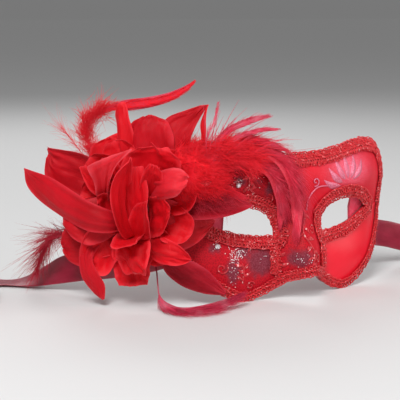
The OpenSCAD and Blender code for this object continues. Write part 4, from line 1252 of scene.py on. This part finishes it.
def leaves(name, rows, material, h):
    """Leaf shapes laid on the face, each from a root to a tip, with a width and a bend."""
    bm = bmesh.new()
    uv = bm.loops.layers.uv.new("UVMap")
    for root, tip, width, bend in rows:
        a, b = Vector(root), Vector(tip)
        t = (b - a).normalized()
        left = Vector((-t.y, t.x))
        for vert, (u, v) in lay_grid(bm, uv, LEAF_CELLS).items():
            half = width / 2 * max(0.06, math.sin(math.pi * u ** 0.8) ** 0.9)
            p = a.lerp(b, u) + left * (v * half + bend * math.sin(math.pi * u))
            vert.co = on_mask(p.x, p.y, h + LEAF_RIDGE * (1 - abs(v)) * math.sin(math.pi * u)) * MM
    obj = piece(bm, name, material)
    thick_and_smooth(obj, LEAF_T)
    keep(obj, "lace")


# The fan: the tip of each leaf, its width and its bend
FAN_ROOT, FAN_FROM = Vector((37, 60)), 0.3
FAN = [((17, 66.5), 4.0, 1.6), ((21.5, 73), 4.2, 1.5), ((28, 77.5), 4.4, 1.1), ((36, 79.5), 4.2, 0.3),
       ((44, 79), 4.4, -0.8), ((51, 76), 4.2, -1.6)]
VINES = [[(-15, 15), (-14.5, 22), (-16, 31), (-24, 33), (-32, 32.5)], [(-36, 11), (-35.5, 17), (-36.5, 22)],
         [(-26, 75), (-31, 73), (-33, 66), (-29, 62)], [(0, 60), (1.5, 48), (-2, 38), (1.5, 28), (0, 19)]]
SCROLLS = [(-48, 20, 3.4, 1.3, 30, -1), (-20, 58, 3.0, 1.3, 100, -1), (5, 23, 3.0, 1.3, 180, -1),
           (5, 40, 2.8, 1.2, 200, 1), (-31, 9, 2.6, 1.2, 20, 1)]
PALE_VINE, PALE_SCROLL = [(20, 63), (14, 63), (10, 61), (6, 56), (4, 50)], (11, 66, 2.8, 1.1, 250)
LEAVES_IN_SPAN, LEAF_LENGTHS, LEAF_WIDTHS, LEAF_BEND = 3, (3.4, 4.6), (1.6, 2.2), 0.4
leaves("brow_fan", [(FAN_ROOT.lerp(Vector(tip), FAN_FROM), tip, width, bend) for tip, width, bend in FAN],
       LEAF, FAN_H)
lay_lines("pale_scrolls", [PALE_VINE, scroll(*PALE_SCROLL)], LEAF)
lay_lines("lace_scrolls", VINES + [scroll(*s) for s in SCROLLS], CORD_LACE)
rng = random.Random(5)
leaf_rows = []
for vine in VINES:
    for k in range(1, LEAVES_IN_SPAN * (len(vine) - 1)):
        p = through(vine, k / LEAVES_IN_SPAN)
        t = (through(vine, k / LEAVES_IN_SPAN + 0.1) - p).normalized()
        side = 1 if k % 2 else -1
        tip = p + (t * 0.6 + Vector((-t.y, t.x)) * side) * rng.uniform(*LEAF_LENGTHS)
        leaf_rows.append((p, tip, rng.uniform(*LEAF_WIDTHS), LEAF_BEND * side))
leaves("lace_leaves", leaf_rows, CORD_LACE, LACE_LEAF_H)


def on_face_matrix(x, z, h):
    turn = face_out(x, z).to_track_quat("Z", "Y").to_matrix().to_4x4()
    return Matrix.Translation(on_mask(x, z, h) * MM) @ turn


# The lower and upper part of a cut stone: their heights, and their radii as shares of its width
STONE_D, STONE_SIDES, STONE_WELD = 3.0, 8, 0.01
STONE_PARTS = ((0.0, 0.5, 0.36, 0.5), (0.5, 1.0, 0.5, 0.27))


def add_stone(name, node, x, z):
    bm = bmesh.new()
    at = on_face_matrix(x * HALF_W, z * MASK_H, COVER_T + GLUE)
    for low, high, r1, r2 in STONE_PARTS:
        bmesh.ops.create_cone(bm, cap_ends=True, segments=STONE_SIDES, radius1=r1 * STONE_D * MM,
                              radius2=r2 * STONE_D * MM, depth=(high - low) * MM,
                              matrix=at @ Matrix.Translation((0, 0, (low + high) / 2 * MM)))
    bmesh.ops.remove_doubles(bm, verts=bm.verts, dist=STONE_WELD * MM)
    inside = [f for f in bm.faces
              if len(f.verts) == STONE_SIDES and sum(len(e.link_faces) > 2 for e in f.edges) > 4]
    bmesh.ops.delete(bm, geom=inside, context="FACES_ONLY")
    bmesh.ops.recalc_face_normals(bm, faces=bm.faces)
    keep(piece(bm, name, STONE, False), "rhinestone", node)


add_stone("brow_stone", "brow_rhinestone", -0.494, 0.77)
add_stone("cheek_stone", "cheek_rhinestone", -0.62, 0.368)
# Glitter: the middle of each patch, its reach across and up, and the number of flecks
FLECKS = [((-39.5, 26.5), 5.5, 5, 95), ((-35.5, 28.5), 5, 3, 30), ((-49.5, 33), 4, 3, 16),
          ((-39.5, 69), 4, 2.6, 30), ((-24, 22), 9, 9, 5), ((-4, 23), 6, 4, 24), ((-42, 15), 4, 6, 14),
          ((-25, 68), 14, 6, 14)]
FLECK_SIZES, FLECK_H = (0.16, 0.34), COVER_T + 0.2
bm = bmesh.new()
for (mx, mz), rx, rz, count in FLECKS:
    for _ in range(count):
        x, z = mx + rng.gauss(0, 0.5) * rx, mz + rng.gauss(0, 0.5) * rz
        bmesh.ops.create_icosphere(bm, subdivisions=1, radius=rng.uniform(*FLECK_SIZES) * MM,
                                   matrix=on_face_matrix(x, z, FLECK_H))
keep(piece(bm, "glitter_flecks", GLITTER, False), "rhinestone")

# Solids that stay as they are
# The tabs take the satin painted lighter, as painted light.
for node, material in (("flower_base", FELT), ("flower_core", FELT), ("feather_binding", BRAID_DARK),
                       ("left_ribbon_tab", PAINTED_LIGHT_TAB), ("right_ribbon_tab", PAINTED_LIGHT_TAB)):
    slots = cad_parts[node].material_slots
    if slots:
        slots[0].material = material
    else:
        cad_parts[node].data.materials.append(material)

# The floor in metres: half its side, how far its rims rise to hide its end, and how far down it lies
FLOOR_HALF, FLOOR_RIM, FLOOR_UNDER, FLOOR_CELLS = 40.0, 3.0, 0.0003, 10
# Lights: place and size in metres, and power in watts
LIGHTS = [("key", (-0.75, -0.8, 1.0), 0.5, 16.5), ("fill", (0.9, -0.9, 0.5), 0.8, 7.5),
          ("back", (0.2, 0.9, 0.9), 0.7, 4.5)]
WORLD_STRENGTH = 0.26


def add_floor():
    bm = bmesh.new()
    bmesh.ops.create_grid(bm, x_segments=FLOOR_CELLS, y_segments=FLOOR_CELLS, size=FLOOR_HALF)
    for v in bm.verts:
        on_rim = max(abs(v.co.x), abs(v.co.y)) > 0.95 * FLOOR_HALF
        v.co.z = FLOOR_RIM if on_rim else -FLOOR_UNDER
    piece(bm, "floor", Finish("floor_paint", 0.8, Base_Color=srgb("#dcdcdc")).material)


def add_light(name, place, size, power):
    data = bpy.data.lights.new(name, "AREA")
    data.shape = "SQUARE"
    data.size = size
    data.energy = power
    light = bpy.data.objects.new(name, data)
    light.location = place
    light.rotation_euler = (TARGET * MM - Vector(place)).to_track_quat("-Z", "Y").to_euler()
    scene.collection.objects.link(light)


add_floor()
for light in LIGHTS:
    add_light(*light)
world = bpy.data.worlds.new("studio")
world.use_nodes = True
sky = world.node_tree.nodes["Background"].inputs
sky["Color"].default_value = (1, 1, 1, 1)
sky["Strength"].default_value = WORLD_STRENGTH
scene.world = world
